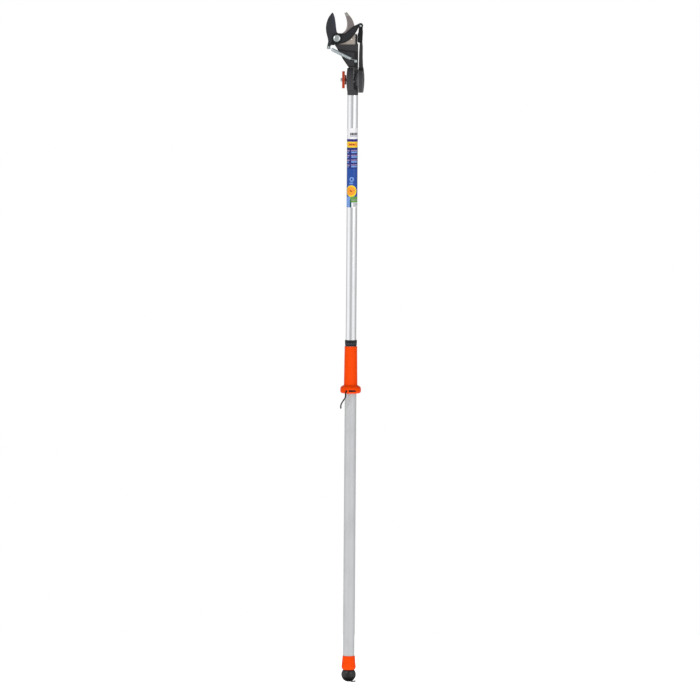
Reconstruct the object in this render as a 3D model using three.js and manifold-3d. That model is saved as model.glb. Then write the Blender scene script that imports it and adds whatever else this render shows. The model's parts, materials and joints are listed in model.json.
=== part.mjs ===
// Telescopic pole lopper with a bypass head. Millimetres, +Z up the pole, +X towards the strap side
// of the head, -Y towards the face that carries the pivot bolt's head.
// Heights in this file are counted from the underside of the pull ball; the last lines move the
// whole object so that its origin is the hand hold in the middle of the lower tube.
import * as THREE from 'three';
import { mergeVertices } from 'three/addons/utils/BufferGeometryUtils.js';
import Module from 'manifold-3d';

const wasm = await Module();
wasm.setup();

// ---------- driving dimensions ----------
const GAP = 0.3; // running gap between touching pieces
const HOLD_HEIGHT = 541; // middle of the bare lower tube
const SIDES = 32; // facets round the pole

const UPPER_TUBE = { outer: 18, inner: 16.5, bottom: 130, top: 2018.2 };
const LOWER_TUBE = { outer: 20, inner: 18.5, bottom: 52, top: 1156.4 };
const LABEL = { bottom: 1634, top: 1906, skin: 0.25 };

const BALL = { radius: 24.1, height: 24.4 };
const CORD_RADIUS = 2.3;
const FERRULE = { top: 89, bulge: 50, bottom: 40.8 };

const COLLAR_INNER = 18.45;
const COLLAR_OUTER = 20.3;
const HANDLE = { top: 1156.4, joint: 1023, bottom: 995, bore: 20.45 };
const HANDLE_TRAVEL = 160;
const HANDLE_PIN = { height: 1009, radius: 3 };
const SLOT_HALF_WIDTH = 3.8;

const TILT_HEIGHT = 2070; // axis of the head's tilt, along X
const SOCKET = { radius: 41, outerFace: -22, innerFace: 2.7, shank: 18.6, bottom: 2018.6 };
const DRUM = { radius: 44, innerFace: 3.3, shoulder: 18.9, web: 21, open: 34.5, bore: 39.5 };
const CLAMP_BORE = 4.3;

const PIVOT = { x: -55.5, z: 2212 };
const PIVOT_HOLE = 6;
const HOOK_PLATE = { front: -1.5, back: 2.5 };
const BLADE_PLATE = { front: -5, back: -1.8 };
const LEVER_FRONT = { front: -9.3, back: -5.3 };
const LEVER_REAR = { front: 6.3, back: 10.3 };
const LEVER_END = { x: 80.8, z: 43.3, radius: 8.8 }; // from the pivot
const TAIL = { x: -28, z: -31.3, radius: 6.2 }; // from the pivot

const SHELL = { half: 8, tongueFront: -4.9, tongueBack: 5.8, split: 0.5 };
const SPRING_ANCHOR = { x: 9.3, z: 2134.7 };
const SPRING = { y: -15.2, coilRadius: 6.2, wire: 1, coilStart: 17.5, coilEnd: 91, eyeRadius: 5.2 };

const BLOCK = { left: -10.2, right: 8.2, shoulder: -13, bottom: -58, half: 8 }; // from the lever pin
const STRAP = { left: 24.2, right: 31.9, gap: 5, thickness: 1.2, rollerHeight: 2206, bottom: 2101 };

// ---------- colours ----------
const FINISH = {
  aluminium: { color: 0xd8dbde, roughness: 0.3, metalness: 1 },
  satinAluminium: { color: 0xc4c7ca, roughness: 0.45, metalness: 1 },
  orange: { color: 0xf25518, roughness: 0.5, metalness: 0 },
  redOrange: { color: 0xc83a16, roughness: 0.5, metalness: 0 },
  darkRed: { color: 0x5a1408, roughness: 0.6, metalness: 0 },
  black: { color: 0x222225, roughness: 0.5, metalness: 0 },
  charcoal: { color: 0x404144, roughness: 0.55, metalness: 0 },
  greyRing: { color: 0x6a7482, roughness: 0.5, metalness: 0 },
  bladeSteel: { color: 0x3c3e44, roughness: 0.4, metalness: 0.6 },
  satinSteel: { color: 0x8f8583, roughness: 0.35, metalness: 0.9 },
  zinc: { color: 0xc9d2d0, roughness: 0.3, metalness: 1 },
  webbing: { color: 0x3a3a3b, roughness: 0.9, metalness: 0 },
  label: { color: 0x2a4fa0, roughness: 0.4, metalness: 0 },
};

// ---------- solids ----------
function signedVolume(points, triangles) {
  const corner = (index) => new THREE.Vector3().fromArray(points, 3 * index);
  let volume = 0;
  for (let i = 0; i < triangles.length; i += 3) {
    const [a, b, c] = [triangles[i], triangles[i + 1], triangles[i + 2]].map(corner);
    volume += a.dot(b.cross(c)) / 6;
  }
  return volume;
}

function toSolid(geometry) {
  const bare = geometry.clone();
  bare.deleteAttribute('normal');
  bare.deleteAttribute('uv');
  const merged = mergeVertices(bare, 1e-3);
  const points = merged.attributes.position.array;
  const triangles = [];
  for (let i = 0; i < merged.index.count; i += 3) {
    const [a, b, c] = merged.index.array.slice(i, i + 3);
    if (a !== b && b !== c && c !== a) triangles.push(a, b, c);
  }
  if (signedVolume(points, triangles) < 0) triangles.reverse();
  return new wasm.Manifold(new wasm.Mesh({
    numProp: 3,
    vertProperties: Float32Array.from(points),
    triVerts: Uint32Array.from(triangles),
  }));
}

function toGeometry(solid) {
  const mesh = solid.getMesh();
  const geometry = new THREE.BufferGeometry();
  geometry.setAttribute('position', new THREE.BufferAttribute(mesh.vertProperties, 3));
  geometry.setIndex(new THREE.BufferAttribute(mesh.triVerts, 1));
  geometry.computeVertexNormals();
  return geometry;
}

const cut = (solid, ...tools) => tools.reduce((rest, tool) => rest.subtract(tool), solid);
const join = (...solids) => solids.reduce((whole, solid) => whole.add(solid));

// A turned piece: the closed profile is a list of [radius, place along the axis].
function turned(profile, sides = SIDES) {
  const points = [...profile, profile[0]].map(([radius, along]) => new THREE.Vector2(radius, along));
  return new THREE.LatheGeometry(points, sides);
}
const turnedY = (profile, sides) => toSolid(turned(profile, sides));
const turnedZ = (profile, sides) => toSolid(turned(profile, sides).rotateX(Math.PI / 2));
const turnedX = (profile, sides) => toSolid(turned(profile, sides).rotateZ(-Math.PI / 2));

const rodProfile = (radius, low, high) => [[0, low], [radius, low], [radius, high], [0, high]];
const ringProfile = (outer, inner, low, high) => [[inner, low], [outer, low], [outer, high], [inner, high]];

function block(x0, x1, y0, y1, z0, z1) {
  const box = new THREE.BoxGeometry(x1 - x0, y1 - y0, z1 - z0);
  return toSolid(box.translate((x0 + x1) / 2, (y0 + y1) / 2, (z0 + z1) / 2));
}

// A flat plate standing in the XZ plane, between two Y places.
function plate(shape, front, back, curveSegments = 4) {
  const flat = new THREE.ExtrudeGeometry(shape, {
    depth: back - front, bevelEnabled: false, curveSegments,
  });
  return toSolid(flat.rotateX(Math.PI / 2).translate(0, back, 0));
}

const rodY = (x, z, radius, front, back, sides = 16) =>
  turnedY(rodProfile(radius, front, back), sides).translate([x, 0, z]);

const vectors = (points) => points.map(([x, z]) => new THREE.Vector2(x, z));
const polygon = (points) => new THREE.Shape(vectors(points));
const degrees = THREE.MathUtils.degToRad;

// A round section swept along a smooth curve, closed at both ends.
function swept(points, radius, steps, sides = 8) {
  const section = new THREE.Shape();
  for (let side = 0; side < sides; side += 1) {
    const angle = (2 * Math.PI * side) / sides;
    const corner = [radius * Math.cos(angle), radius * Math.sin(angle)];
    if (side === 0) section.moveTo(...corner);
    else section.lineTo(...corner);
  }
  section.closePath();
  const route = new THREE.CatmullRomCurve3(points.map((point) => new THREE.Vector3(...point)));
  return toSolid(new THREE.ExtrudeGeometry(section, { steps, extrudePath: route }));
}

// ---------- scene graph ----------
const lopper = new THREE.Group();
const materials = new Map();

function place(name, solid, finish, parent = lopper) {
  if (!materials.has(finish)) materials.set(finish, new THREE.MeshStandardMaterial(FINISH[finish]));
  const mesh = new THREE.Mesh(toGeometry(solid), materials.get(finish));
  mesh.name = name;
  parent.add(mesh);
}

function groupAt(x, y, z) {
  const group = new THREE.Group();
  group.position.set(x, y, z);
  lopper.add(group);
  return group;
}

// ---------- lower pole ----------
function lowerPole() {
  const pinRoom = HANDLE_PIN.radius + 2;
  const slot = block(
    -SLOT_HALF_WIDTH, SLOT_HALF_WIDTH, 10, 25,
    HANDLE_PIN.height - HANDLE_TRAVEL - pinRoom, HANDLE_PIN.height + pinRoom,
  );
  const tube = turnedZ(ringProfile(LOWER_TUBE.outer, LOWER_TUBE.inner, LOWER_TUBE.bottom, LOWER_TUBE.top));
  place('lower_tube', cut(tube, slot), 'satinAluminium');

  const ferruleBore = LOWER_TUBE.outer + GAP;
  const seat = LOWER_TUBE.inner + 0.1;
  const shelf = LOWER_TUBE.bottom - GAP;
  const ferrule = turnedZ([
    [ferruleBore, FERRULE.top], [20.9, FERRULE.top], [21.6, FERRULE.top - 2], [22.4, 72], [23.6, 60],
    [24.5, 53], [24.6, FERRULE.bulge], [23.6, 45.5], [21.4, 42], [20, FERRULE.bottom],
    [seat, FERRULE.bottom], [seat, shelf], [ferruleBore, shelf],
  ]);
  place('end_ferrule', ferrule, 'orange');

  const plugRadius = LOWER_TUBE.inner - GAP;
  place('tube_plug', turnedZ(ringProfile(plugRadius, 3.4, 49.6, 80)), 'black');

  place('collar_base', turnedZ(ringProfile(COLLAR_OUTER - 0.9, COLLAR_INNER, 1156.8, 1160.4)), 'black');
  place('collar_ring', turnedZ(ringProfile(COLLAR_OUTER, COLLAR_INNER, 1160.7, 1166.4)), 'greyRing');
}

function lockCollar() {
  const ring = turnedZ(ringProfile(COLLAR_OUTER + 0.3, COLLAR_INNER, 1166.8, 1178));
  const grooves = [];
  for (let groove = 0; groove < 12; groove += 1) {
    const angle = (360 / 12) * groove + 15;
    const radius = COLLAR_OUTER + 0.9;
    const tool = turnedZ(rodProfile(1.5, 1169, 1176), 8);
    grooves.push(tool.translate([
      radius * Math.cos(degrees(angle)), radius * Math.sin(degrees(angle)), 0,
    ]));
  }
  place('lock_collar', cut(ring, ...grooves), 'black');
}

// ---------- pull handle, ball and what joins them ----------
function pullHandle() {
  const { top, joint, bottom, bore } = HANDLE;
  const grip = turnedZ([
    [bore, top], [21, top], [21.6, top - 1.5], [22.1, 1110], [22.7, 1060], [23.2, joint + GAP],
    [bore, joint + GAP],
  ]);
  place('handle_grip', grip, 'orange');

  const flange = turnedZ([
    [bore, joint], [23.3, joint], [25, 1019.5], [28.6, 1016], [32.4, 1013.4], [34.9, 1010.4],
    [35.5, 1006.4], [35.2, 1001.6], [33.6, 997.6], [30.6, bottom + 0.2], [28, bottom], [bore, bottom],
  ]);
  const cleatSlot = block(-6, 18, -40, -26, 1001, 1008);
  const cordHole = rodY(CORD_EXIT.x, CORD_EXIT.z, 2.9, -40, -24, 12);
  const pinHole = rodY(0, HANDLE_PIN.height, HANDLE_PIN.radius + GAP, 10, 40);
  place('handle_flange', cut(flange, cleatSlot, cordHole, pinHole), 'orange');

  place('cord_cleat', block(-5.6, 17.6, -30, -26.3, 1001.4, 1007.6), 'black');
  place('handle_pin', rodY(0, HANDLE_PIN.height, HANDLE_PIN.radius, 4, 34), 'zinc');

  const shuttle = turnedZ(rodProfile(UPPER_TUBE.inner - 0.5, 990, 1030));
  const crossHole = rodY(0, HANDLE_PIN.height, HANDLE_PIN.radius + GAP, 3, 20);
  const cordSocket = turnedZ(rodProfile(CORD_RADIUS + 0.5, 980, 1000), 12);
  place('pull_shuttle', cut(shuttle, crossHole, cordSocket), 'black');

  place('ball_cord', turnedZ(rodProfile(CORD_RADIUS, 41, 999), 10), 'webbing');

  const ball = toSolid(new THREE.SphereGeometry(BALL.radius, 28, 18)
    .rotateX(Math.PI / 2).translate(0, 0, BALL.height));
  const topHole = turnedZ(rodProfile(CORD_RADIUS + 0.5, 40, 60), 12);
  const tailHole = turnedZ(rodProfile(3.2, -10, 17), 12).translate([TAIL_HOLE.x, TAIL_HOLE.y, 0]);
  const tailGroove = block(1.6, 26, -6.2, 0.2, -5, 4.6);
  place('pull_ball', cut(ball, topHole, tailHole, tailGroove), 'black');
}

// ---------- the two free ends of cord ----------
const CORD_EXIT = { x: -15, z: 1005 };
const HANDLE_CORD_ROUTE = [
  [-15, -28, 1005], [-15, -31.5, 1005], [-15.2, -35, 1004.2], [-16.3, -37.2, 1000.8],
  [-17.2, -37.9, 996], [-16.9, -38, 991], [-17.2, -37.8, 986], [-19, -37.4, 981],
  [-22, -36.8, 976], [-25.6, -36.1, 970.6], [-29, -35.4, 965], [-31.6, -34.7, 959.8],
  [-33, -34.1, 954], [-33.2, -33.8, 950], [-32.9, -33.6, 946],
];
const TAIL_HOLE = { x: 5, y: -3 };
const BALL_CORD_ROUTE = [
  [5, -3, 14], [5, -3, 10], [5.1, -3, 6], [5.9, -3.1, 3], [7.9, -3.3, 0.9], [10.6, -3.4, -0.1],
  [13.6, -3.4, -0.3], [17, -3.3, 0], [20, -3.1, 0.5], [23, -2.9, 1],
];

function freeCords() {
  place('handle_cord', swept(HANDLE_CORD_ROUTE, CORD_RADIUS, 40), 'webbing');
  place('ball_cord_tail', swept(BALL_CORD_ROUTE, CORD_RADIUS, 20), 'webbing');
}

// ---------- upper pole ----------
function upperPole() {
  const { outer, inner, bottom, top } = UPPER_TUBE;
  const tube = turnedZ(ringProfile(outer, inner, bottom, top));
  const keyway = block(
    -SLOT_HALF_WIDTH, SLOT_HALF_WIDTH, 10, 25, bottom - 10, HANDLE_PIN.height + HANDLE_PIN.radius + 4,
  );
  const rivetHole = rodY(0, RIVET_HEIGHT, 2.8, 8, 25);
  place('upper_tube', cut(tube, keyway, rivetHole), 'aluminium');

  const labelInner = outer + LABEL.skin;
  place('label_sleeve', turnedZ(
    ringProfile(labelInner + LABEL.skin, labelInner, LABEL.bottom, LABEL.top),
  ), 'label');
}

const RIVET_HEIGHT = 2002;

function swivelSocket() {
  const { radius, outerFace, innerFace, shank, bottom } = SOCKET;
  const disc = turnedX([
    [CLAMP_BORE, innerFace], [radius - 1, innerFace], [radius, innerFace - 1], [radius, -17.6],
    [radius - 0.8, -18.7], [34, -19.8], [24, -21], [14, -21.8], [8, outerFace], [CLAMP_BORE, outerFace],
  ], 40).translate([0, 0, TILT_HEIGHT]);
  const neck = turnedZ(rodProfile(shank, bottom, 2062));
  const drumSweep = turnedX([
    [0, innerFace + 0.1], [7.2, innerFace + 0.1], [32.2, DRUM.shoulder - 0.4], [60, DRUM.shoulder - 0.4],
    [60, 60], [0, 60],
  ], 40).translate([0, 0, TILT_HEIGHT]);
  const cheekHalf = 9;
  const cheeks = [
    block(innerFace, 30, cheekHalf, 30, 2040, 2120),
    block(innerFace, 30, -30, -cheekHalf, 2040, 2120),
  ];
  const spigot = turnedZ(rodProfile(UPPER_TUBE.inner - GAP, 1985, bottom + 5));
  const strapBore = turnedZ(rodProfile(7.5, 1980, 2050), 16);
  const rivetHole = rodY(0, RIVET_HEIGHT, 2.8, 9, 25);
  const clampBore = turnedX(rodProfile(CLAMP_BORE, -40, 40), 16).translate([0, 0, TILT_HEIGHT]);
  const body = join(disc, cut(neck, drumSweep, ...cheeks), spigot);
  place('swivel_socket', cut(body, clampBore, strapBore, rivetHole), 'charcoal');

  const rivet = turnedY([
    [0, 10], [2.4, 10], [2.4, 18.6], [4.4, 18.6], [3.4, 20.2], [0, 20.6],
  ], 16).translate([0, 0, RIVET_HEIGHT]);
  place('socket_rivet', rivet, 'zinc');
}

function tubeStrap() {
  const half = (STRAP.right - STRAP.left) / 2;
  place('tube_strap', block(-half, half, -0.6, 0.6, 1031, 2040), 'webbing');
}

// ---------- clamp knob ----------
function clampKnob() {
  const wingShape = new THREE.Shape();
  wingShape.moveTo(-5, -26);
  wingShape.quadraticCurveTo(0, -30, 5, -26);
  wingShape.lineTo(9.5, -9);
  wingShape.lineTo(9.5, 9);
  wingShape.lineTo(5, 26);
  wingShape.quadraticCurveTo(0, 30, -5, 26);
  wingShape.lineTo(-9.5, 9);
  wingShape.lineTo(-9.5, -9);
  wingShape.closePath();
  const flat = new THREE.ExtrudeGeometry(wingShape, { depth: 9.3, bevelEnabled: false, curveSegments: 6 });
  const bore = turnedX(rodProfile(CLAMP_BORE, -60, 0), 16);
  const wing = toSolid(flat.rotateZ(Math.PI / 2).rotateY(Math.PI / 2).translate(-36.6, 0, 0));
  const knob = groupAt(0, 0, TILT_HEIGHT);
  place('knob_wing', cut(wing, bore), 'redOrange', knob);

  const teeth = [];
  for (let tooth = 0; tooth < 16; tooth += 1) {
    const angle = degrees((360 / 16) * tooth);
    const groove = turnedX(rodProfile(1.5, -30, -20), 8);
    teeth.push(groove.translate([0, 16.6 * Math.cos(angle), 16.6 * Math.sin(angle)]));
  }
  const hub = turnedX(ringProfile(16.4, CLAMP_BORE, -27, -22.4));
  place('knob_hub', cut(hub, ...teeth), 'darkRed', knob);
  place('knob_nut', cut(turnedX(rodProfile(7, -41, -36.9), 6), bore), 'zinc', knob);
}

// ---------- head: two shells round the counter blade's root ----------
// Root of the counter blade, from the pivot; margin widens it into the pocket that holds it.
function rootPolygon(margin, top) {
  return polygon([
    [24 - margin, -62 - margin], [62.5 + margin, -62 - margin], [62.5 + margin, top],
    [-12 - margin, top], [-12 - margin, -20], [-4 - 1.4 * margin, -26], [-2 - 1.4 * margin, -27],
  ]);
}

const SHELL_SCREWS = [[-20, 2158], [0, 2158], [8.6, 2104]];

function headShells() {
  const tongue = plate(polygon([
    [-62, 2188], [-52.5, 2173], [-39.5, 2150], [14.8, 2150], [14.8, 2206], [10.7, 2226], [9.8, 2228],
    [7.9, 2228], [7.3, 2226], [7.3, 2191], [-58.5, 2191],
  ]), SHELL.tongueFront, SHELL.tongueBack);
  const body = plate(polygon([
    [-53.4, 2174.4], [-52.5, 2173], [-34.4, 2141], [-13.9, 2111.6], [3.3, 2111.6], [3.3, 2085],
    [14.8, 2085], [14.8, 2162], [4, 2168], [-20, 2169.5],
  ]), -SHELL.half, SHELL.half);
  const root = block(3.3, 12, -4, 4, TILT_HEIGHT + 5.2, 2086);
  const gusset = plate(polygon([[14, 2088], [20.5, 2088], [20.5, 2101], [17.5, 2101], [14, 2099]]), -8, 8);
  const panel = plate(polygon([
    [-46.8, 2170.4], [-31.4, 2142.2], [-13.4, 2116.6], [2.6, 2116.6], [5.2, 2122], [5.2, 2163.6],
    [-20, 2166.2],
  ]), -SHELL.half - 1, -SHELL.half + 1.2);
  const drum = turnedX([
    [CLAMP_BORE, DRUM.innerFace], [6, DRUM.innerFace], [31, DRUM.shoulder], [DRUM.radius - 1, DRUM.shoulder],
    [DRUM.radius, DRUM.shoulder + 1], [DRUM.radius, DRUM.open], [DRUM.bore, DRUM.open],
    [DRUM.bore, DRUM.web], [CLAMP_BORE, DRUM.web],
  ], 40).translate([0, 0, TILT_HEIGHT]);
  const pocket = plate(rootPolygon(GAP, -10), HOOK_PLATE.front - GAP, HOOK_PLATE.back + GAP)
    .translate([PIVOT.x, 0, PIVOT.z]);
  const mouth = block(23.4, 40, -7.4, 7.4, 2092, 2130);
  const notch = block(24.2, 33.8, -40, 0, 2103.5, 2130);
  const tools = [panel, pocket, mouth, notch];
  for (const [x, z] of SHELL_SCREWS) {
    tools.push(rodY(x, z, 2.3, -5.4, 30), rodY(x, z, 4.2, 5.6, 30));
  }
  tools.push(rodY(SPRING_ANCHOR.x, SPRING_ANCHOR.z, 2.9, -30, -1));
  const shells = cut(join(tongue, body, root, gusset, drum), ...tools);
  const frontHalf = block(-100, 100, -60, SHELL.split - GAP / 2, 1990, 2300);
  const rearHalf = block(-100, 100, SHELL.split + GAP / 2, 60, 1990, 2300);
  place('head_shell_front', shells.intersect(frontHalf), 'charcoal');
  place('head_shell_rear', shells.intersect(rearHalf), 'charcoal');
}

function headHardware() {
  SHELL_SCREWS.forEach(([x, z], index) => {
    const screw = turnedY([[0, -5.1], [1.9, -5.1], [1.9, 5.9], [3.8, 5.9], [3.8, 7.8], [0, 7.8]], 16);
    place(`shell_screw_${index + 1}`, screw.translate([x, 0, z]), 'zinc');
  });

  const cap = turnedX([
    [0, 34.8], [DRUM.radius - 0.6, 34.8], [DRUM.radius - 0.6, 35.4], [40, 36.6], [30, 38], [16, 39.3],
    [0, 39.8],
  ], 40).translate([0, 0, TILT_HEIGHT]);
  place('swivel_cap', cap, 'charcoal');

  const screwHead = turnedX(rodProfile(7, 21.3, 26), 6);
  const screwShaft = turnedX(rodProfile(3.9, -42.5, 22), 16);
  place('clamp_screw', join(screwHead, screwShaft).translate([0, 0, TILT_HEIGHT]), 'zinc');

  const anchorPin = turnedY([
    [0, -19.6], [3.6, -19.6], [3.6, -18], [2.5, -18], [2.5, -1.4], [0, -1.4],
  ], 16);
  place('spring_anchor_pin', anchorPin.translate([SPRING_ANCHOR.x, 0, SPRING_ANCHOR.z]), 'zinc');

  const barEnds = [22, 34];
  place('strap_anchor_bar', turnedX(rodProfile(1.8, ...barEnds), 12)
    .translate([0, -6, TILT_HEIGHT + 18]), 'zinc');
  place('guide_axle', turnedX(rodProfile(1.8, ...barEnds), 12)
    .translate([0, 0.8, TILT_HEIGHT + 15]), 'zinc');
}

function guideRoller() {
  place('guide_roller', turnedX(ringProfile(5, 2.1, 23.6, 33.8), 20)
    .translate([0, 0.8, TILT_HEIGHT + 15]), 'black');
}

// ---------- counter blade ----------
function counterBlade() {
  const outline = new THREE.Shape();
  outline.moveTo(3, 15.2);
  outline.splineThru(vectors([
    [11, 15.4], [19.5, 18.2], [28.7, 27], [33.4, 39], [34.4, 54], [31.1, 70], [25, 86.2],
  ]));
  outline.lineTo(27.4, 87.8);
  outline.lineTo(29.4, 86.6);
  outline.lineTo(33, 90);
  outline.splineThru(vectors([[47, 72.5], [54.9, 59], [59.6, 44], [62, 28], [62.5, 10]]));
  outline.lineTo(62.5, -62);
  outline.lineTo(24, -62);
  outline.lineTo(-2, -26);
  outline.splineThru(vectors([[-7.5, -19.5], [-14, -7.6]]));
  outline.absarc(0, 0, 15.6, degrees(209), degrees(79), true);
  outline.closePath();
  const holes = [[0, 0, PIVOT_HOLE], [50.5, -4, 1.7]];
  for (const [x, z] of SHELL_SCREWS.slice(0, 2)) holes.push([x - PIVOT.x, z - PIVOT.z, 2.3]);
  const tools = holes.map(([x, z, radius]) => rodY(x, z, radius, -20, 20));
  const head = groupAt(PIVOT.x, 0, PIVOT.z);
  place('counter_blade', cut(plate(outline, HOOK_PLATE.front, HOOK_PLATE.back), ...tools), 'satinSteel', head);
}

// ---------- moving blade, lever and pivot ----------
const LEVER_RIVET = { x: -13.5, z: -17.5 };

function bladeOutline() {
  const outline = new THREE.Shape();
  outline.moveTo(-16.1, 88);
  outline.splineThru(vectors([
    [-23.6, 78.6], [-29.6, 69], [-35.4, 52.5], [-37.6, 35.5], [-36, 18.5], [-31.8, 2], [-29.7, -9],
    [-31, -19], [-33.3, -28.1],
  ]));
  outline.absarc(TAIL.x, TAIL.z, TAIL.radius, degrees(149), degrees(390), false);
  outline.splineThru(vectors([[-18.5, -24], [-13, -20.2], [-6, -16.6]]));
  outline.absarc(0, 0, 17.6, degrees(250), degrees(432), false);
  outline.splineThru(vectors([
    [0.4, 20.8], [-2.4, 34], [-4.8, 54], [-8.4, 74], [-13.4, 86.6],
  ]));
  outline.closePath();
  return outline;
}

function leverOutline() {
  const outline = new THREE.Shape();
  outline.moveTo(4.6, 16.4);
  outline.lineTo(26, 16.4);
  outline.splineThru(vectors([[33, 20.6], [39.5, 27], [48.6, 35], [58.9, 42], [68.4, 46.8], [77.2, 51.3]]));
  outline.absarc(LEVER_END.x, LEVER_END.z, LEVER_END.radius, degrees(114), degrees(-140), true);
  outline.splineThru(vectors([[68.2, 25.4], [63, 17.6], [52.6, 4], [39.5, -7], [24, -15.6], [13, -18.4]]));
  outline.lineTo(LEVER_RIVET.x + 2, LEVER_RIVET.z - 6);
  outline.absarc(LEVER_RIVET.x, LEVER_RIVET.z, 6.2, degrees(-72), degrees(-230), true);
  outline.absarc(0, 0, 17, degrees(205), degrees(75), true);
  outline.closePath();
  return outline;
}

function movingBlade() {
  const blade = groupAt(PIVOT.x, 0, PIVOT.z);
  const pivotHole = rodY(0, 0, PIVOT_HOLE, -30, 30, 24);
  const rivetHole = rodY(LEVER_RIVET.x, LEVER_RIVET.z, 2.8, -30, 30);
  const endHole = rodY(LEVER_END.x, LEVER_END.z, 3.8, -30, 30);
  const tailHole = rodY(TAIL.x, TAIL.z, 2.6, -30, 30);

  const steel = plate(bladeOutline(), BLADE_PLATE.front, BLADE_PLATE.back);
  place('cutting_blade', cut(steel, pivotHole, rivetHole, tailHole), 'bladeSteel', blade);

  for (const [name, layer] of [['lever_front', LEVER_FRONT], ['lever_rear', LEVER_REAR]]) {
    const side = plate(leverOutline(), layer.front, layer.back);
    place(name, cut(side, pivotHole, rivetHole, endHole), 'black', blade);
  }

  const rivet = turnedY([
    [0, -10.7], [3, -10.7], [4, -9.6], [2.4, -9.6], [2.4, 10.6], [4, 10.6], [3, 11.7], [0, 11.7],
  ], 16).translate([LEVER_RIVET.x, 0, LEVER_RIVET.z]);
  place('lever_rivet', rivet, 'charcoal', blade);

  const pin = turnedY([
    [0, -11.2], [3.6, -11.2], [4.6, -9.6], [3.4, -9.6], [3.4, 10.6], [4.6, 10.6], [3.6, 12], [0, 12],
  ], 20).translate([LEVER_END.x, 0, LEVER_END.z]);
  place('lever_pin', pin, 'zinc', blade);

  const tailPin = turnedY([
    [0, -20.4], [3.4, -20.4], [3.4, -18.8], [2.2, -18.8], [2.2, -1], [0, -1],
  ], 16).translate([TAIL.x, 0, TAIL.z]);
  place('tail_pin', tailPin, 'zinc', blade);
}

function pivotHardware() {
  const pivot = groupAt(PIVOT.x, 0, PIVOT.z);
  const bolt = turnedY([
    [0, -12.6], [4.2, -12.6], [4.2, -14.2], [8, -14], [11.4, -13], [12.5, -11.6], [12.5, -9.6],
    [5.7, -9.6], [5.7, 17.4], [0, 17.4],
  ], 32);
  place('pivot_bolt', bolt, 'zinc', pivot);
  place('pivot_spacer', turnedY(ringProfile(11.5, PIVOT_HOLE, 2.8, 6), 24), 'zinc', pivot);
  const nutBore = rodY(0, 0, PIVOT_HOLE, 5, 20);
  place('pivot_nut', cut(turnedY(rodProfile(10, 10.6, 16), 6), nutBore), 'zinc', pivot);
}

// ---------- strap block and strap ----------
function strapBlock() {
  const pinX = PIVOT.x + LEVER_END.x;
  const pinZ = PIVOT.z + LEVER_END.z;
  const hanger = groupAt(pinX, 0, pinZ);
  const eye = rodY(0, 0, 7.6, -4.6, 4.6, 20);
  const stem = plate(polygon([[-7, -16], [7.4, -16], [7.6, 0], [-5.6, 0]]), -4.6, 4.6);
  const { left, right, shoulder, bottom, half } = BLOCK;
  const body = plate(polygon([
    [left + 3.5, shoulder], [right - 2, shoulder], [right, shoulder - 4], [right, bottom],
    [left + 6, bottom], [left, bottom + 7], [left, -27],
  ]), -half, half);
  const roof = STRAP.rollerHeight + STRAP.gap + STRAP.thickness + 1.4 - pinZ;
  const cavity = block(
    STRAP.left - pinX - 0.4, STRAP.right - pinX + 0.4, -half + 1.3, half - 1.3, bottom - 5, roof,
  );
  const pinHole = rodY(0, 0, 3.8, -20, 20);
  const axleBore = turnedX(rodProfile(1.9, left + 3, right + 5), 12)
    .translate([0, 0, STRAP.rollerHeight - pinZ]);
  place('strap_block', cut(join(eye, stem, body), cavity, pinHole, axleBore), 'black', hanger);

  const axle = turnedX(rodProfile(1.6, left + 3.4, right - 0.2), 12);
  place('roller_axle', axle.translate([0, 0, STRAP.rollerHeight - pinZ]), 'zinc', hanger);
  const rollerEnds = [STRAP.left - pinX + 0.2, STRAP.right - pinX - 0.2];
  const roller = turnedX(ringProfile(4.4, 1.95, ...rollerEnds), 16);
  place('block_roller', roller.translate([0, 0, STRAP.rollerHeight - pinZ]), 'zinc', hanger);
}

function strap() {
  const { left, right, gap, thickness, rollerHeight, bottom } = STRAP;
  const loop = new THREE.Shape();
  loop.moveTo(-gap - thickness, bottom);
  loop.lineTo(-gap - thickness, rollerHeight);
  loop.absarc(0, rollerHeight, gap + thickness, Math.PI, 0, true);
  loop.lineTo(gap + thickness, bottom);
  loop.lineTo(gap, bottom);
  loop.lineTo(gap, rollerHeight);
  loop.absarc(0, rollerHeight, gap, 0, Math.PI, false);
  loop.lineTo(-gap, bottom);
  loop.closePath();
  const flat = new THREE.ExtrudeGeometry(loop, {
    depth: right - left, bevelEnabled: false, curveSegments: 10,
  });
  place('pull_strap', toSolid(flat.rotateX(Math.PI / 2).rotateZ(Math.PI / 2).translate(left, 0, 0)), 'webbing');
}

// ---------- return spring ----------
function returnSpring() {
  const reach = {
    x: PIVOT.x + TAIL.x - SPRING_ANCHOR.x,
    z: PIVOT.z + TAIL.z - SPRING_ANCHOR.z,
  };
  const length = Math.hypot(reach.x, reach.z) + 1;
  const spring = groupAt(SPRING_ANCHOR.x, SPRING.y, SPRING_ANCHOR.z);
  // Local +Z runs from the anchor pin to the tail pin, less half of what the pin's arc bows.
  spring.rotation.y = Math.atan2(reach.x, reach.z) - degrees(0.55);

  const { coilRadius, wire, coilStart, coilEnd, eyeRadius } = SPRING;
  const coil = turnedZ(ringProfile(coilRadius, coilRadius - 2 * wire, coilStart, coilEnd), 20);
  place('spring_coil', coil, 'zinc', spring);

  const hook = (centre, end, side) => {
    const points = [];
    for (let angle = 150; angle >= -150; angle -= 30) {
      const turn = degrees(angle + (side > 0 ? 0 : 180));
      points.push([eyeRadius * Math.sin(turn), 0, centre + eyeRadius * Math.cos(turn)]);
    }
    const last = points[points.length - 1];
    points.push([last[0] * 0.3, 0, centre + (end - centre) * 0.55]);
    points.push([0, 0, centre + (end - centre) * 0.75], [0, 0, end]);
    return swept(points, wire, 34, 6);
  };
  place('spring_lower_hook', hook(0, coilStart - GAP, -1), 'zinc', spring);
  place('spring_upper_hook', hook(length, coilEnd + GAP, 1), 'zinc', spring);
}

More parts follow.
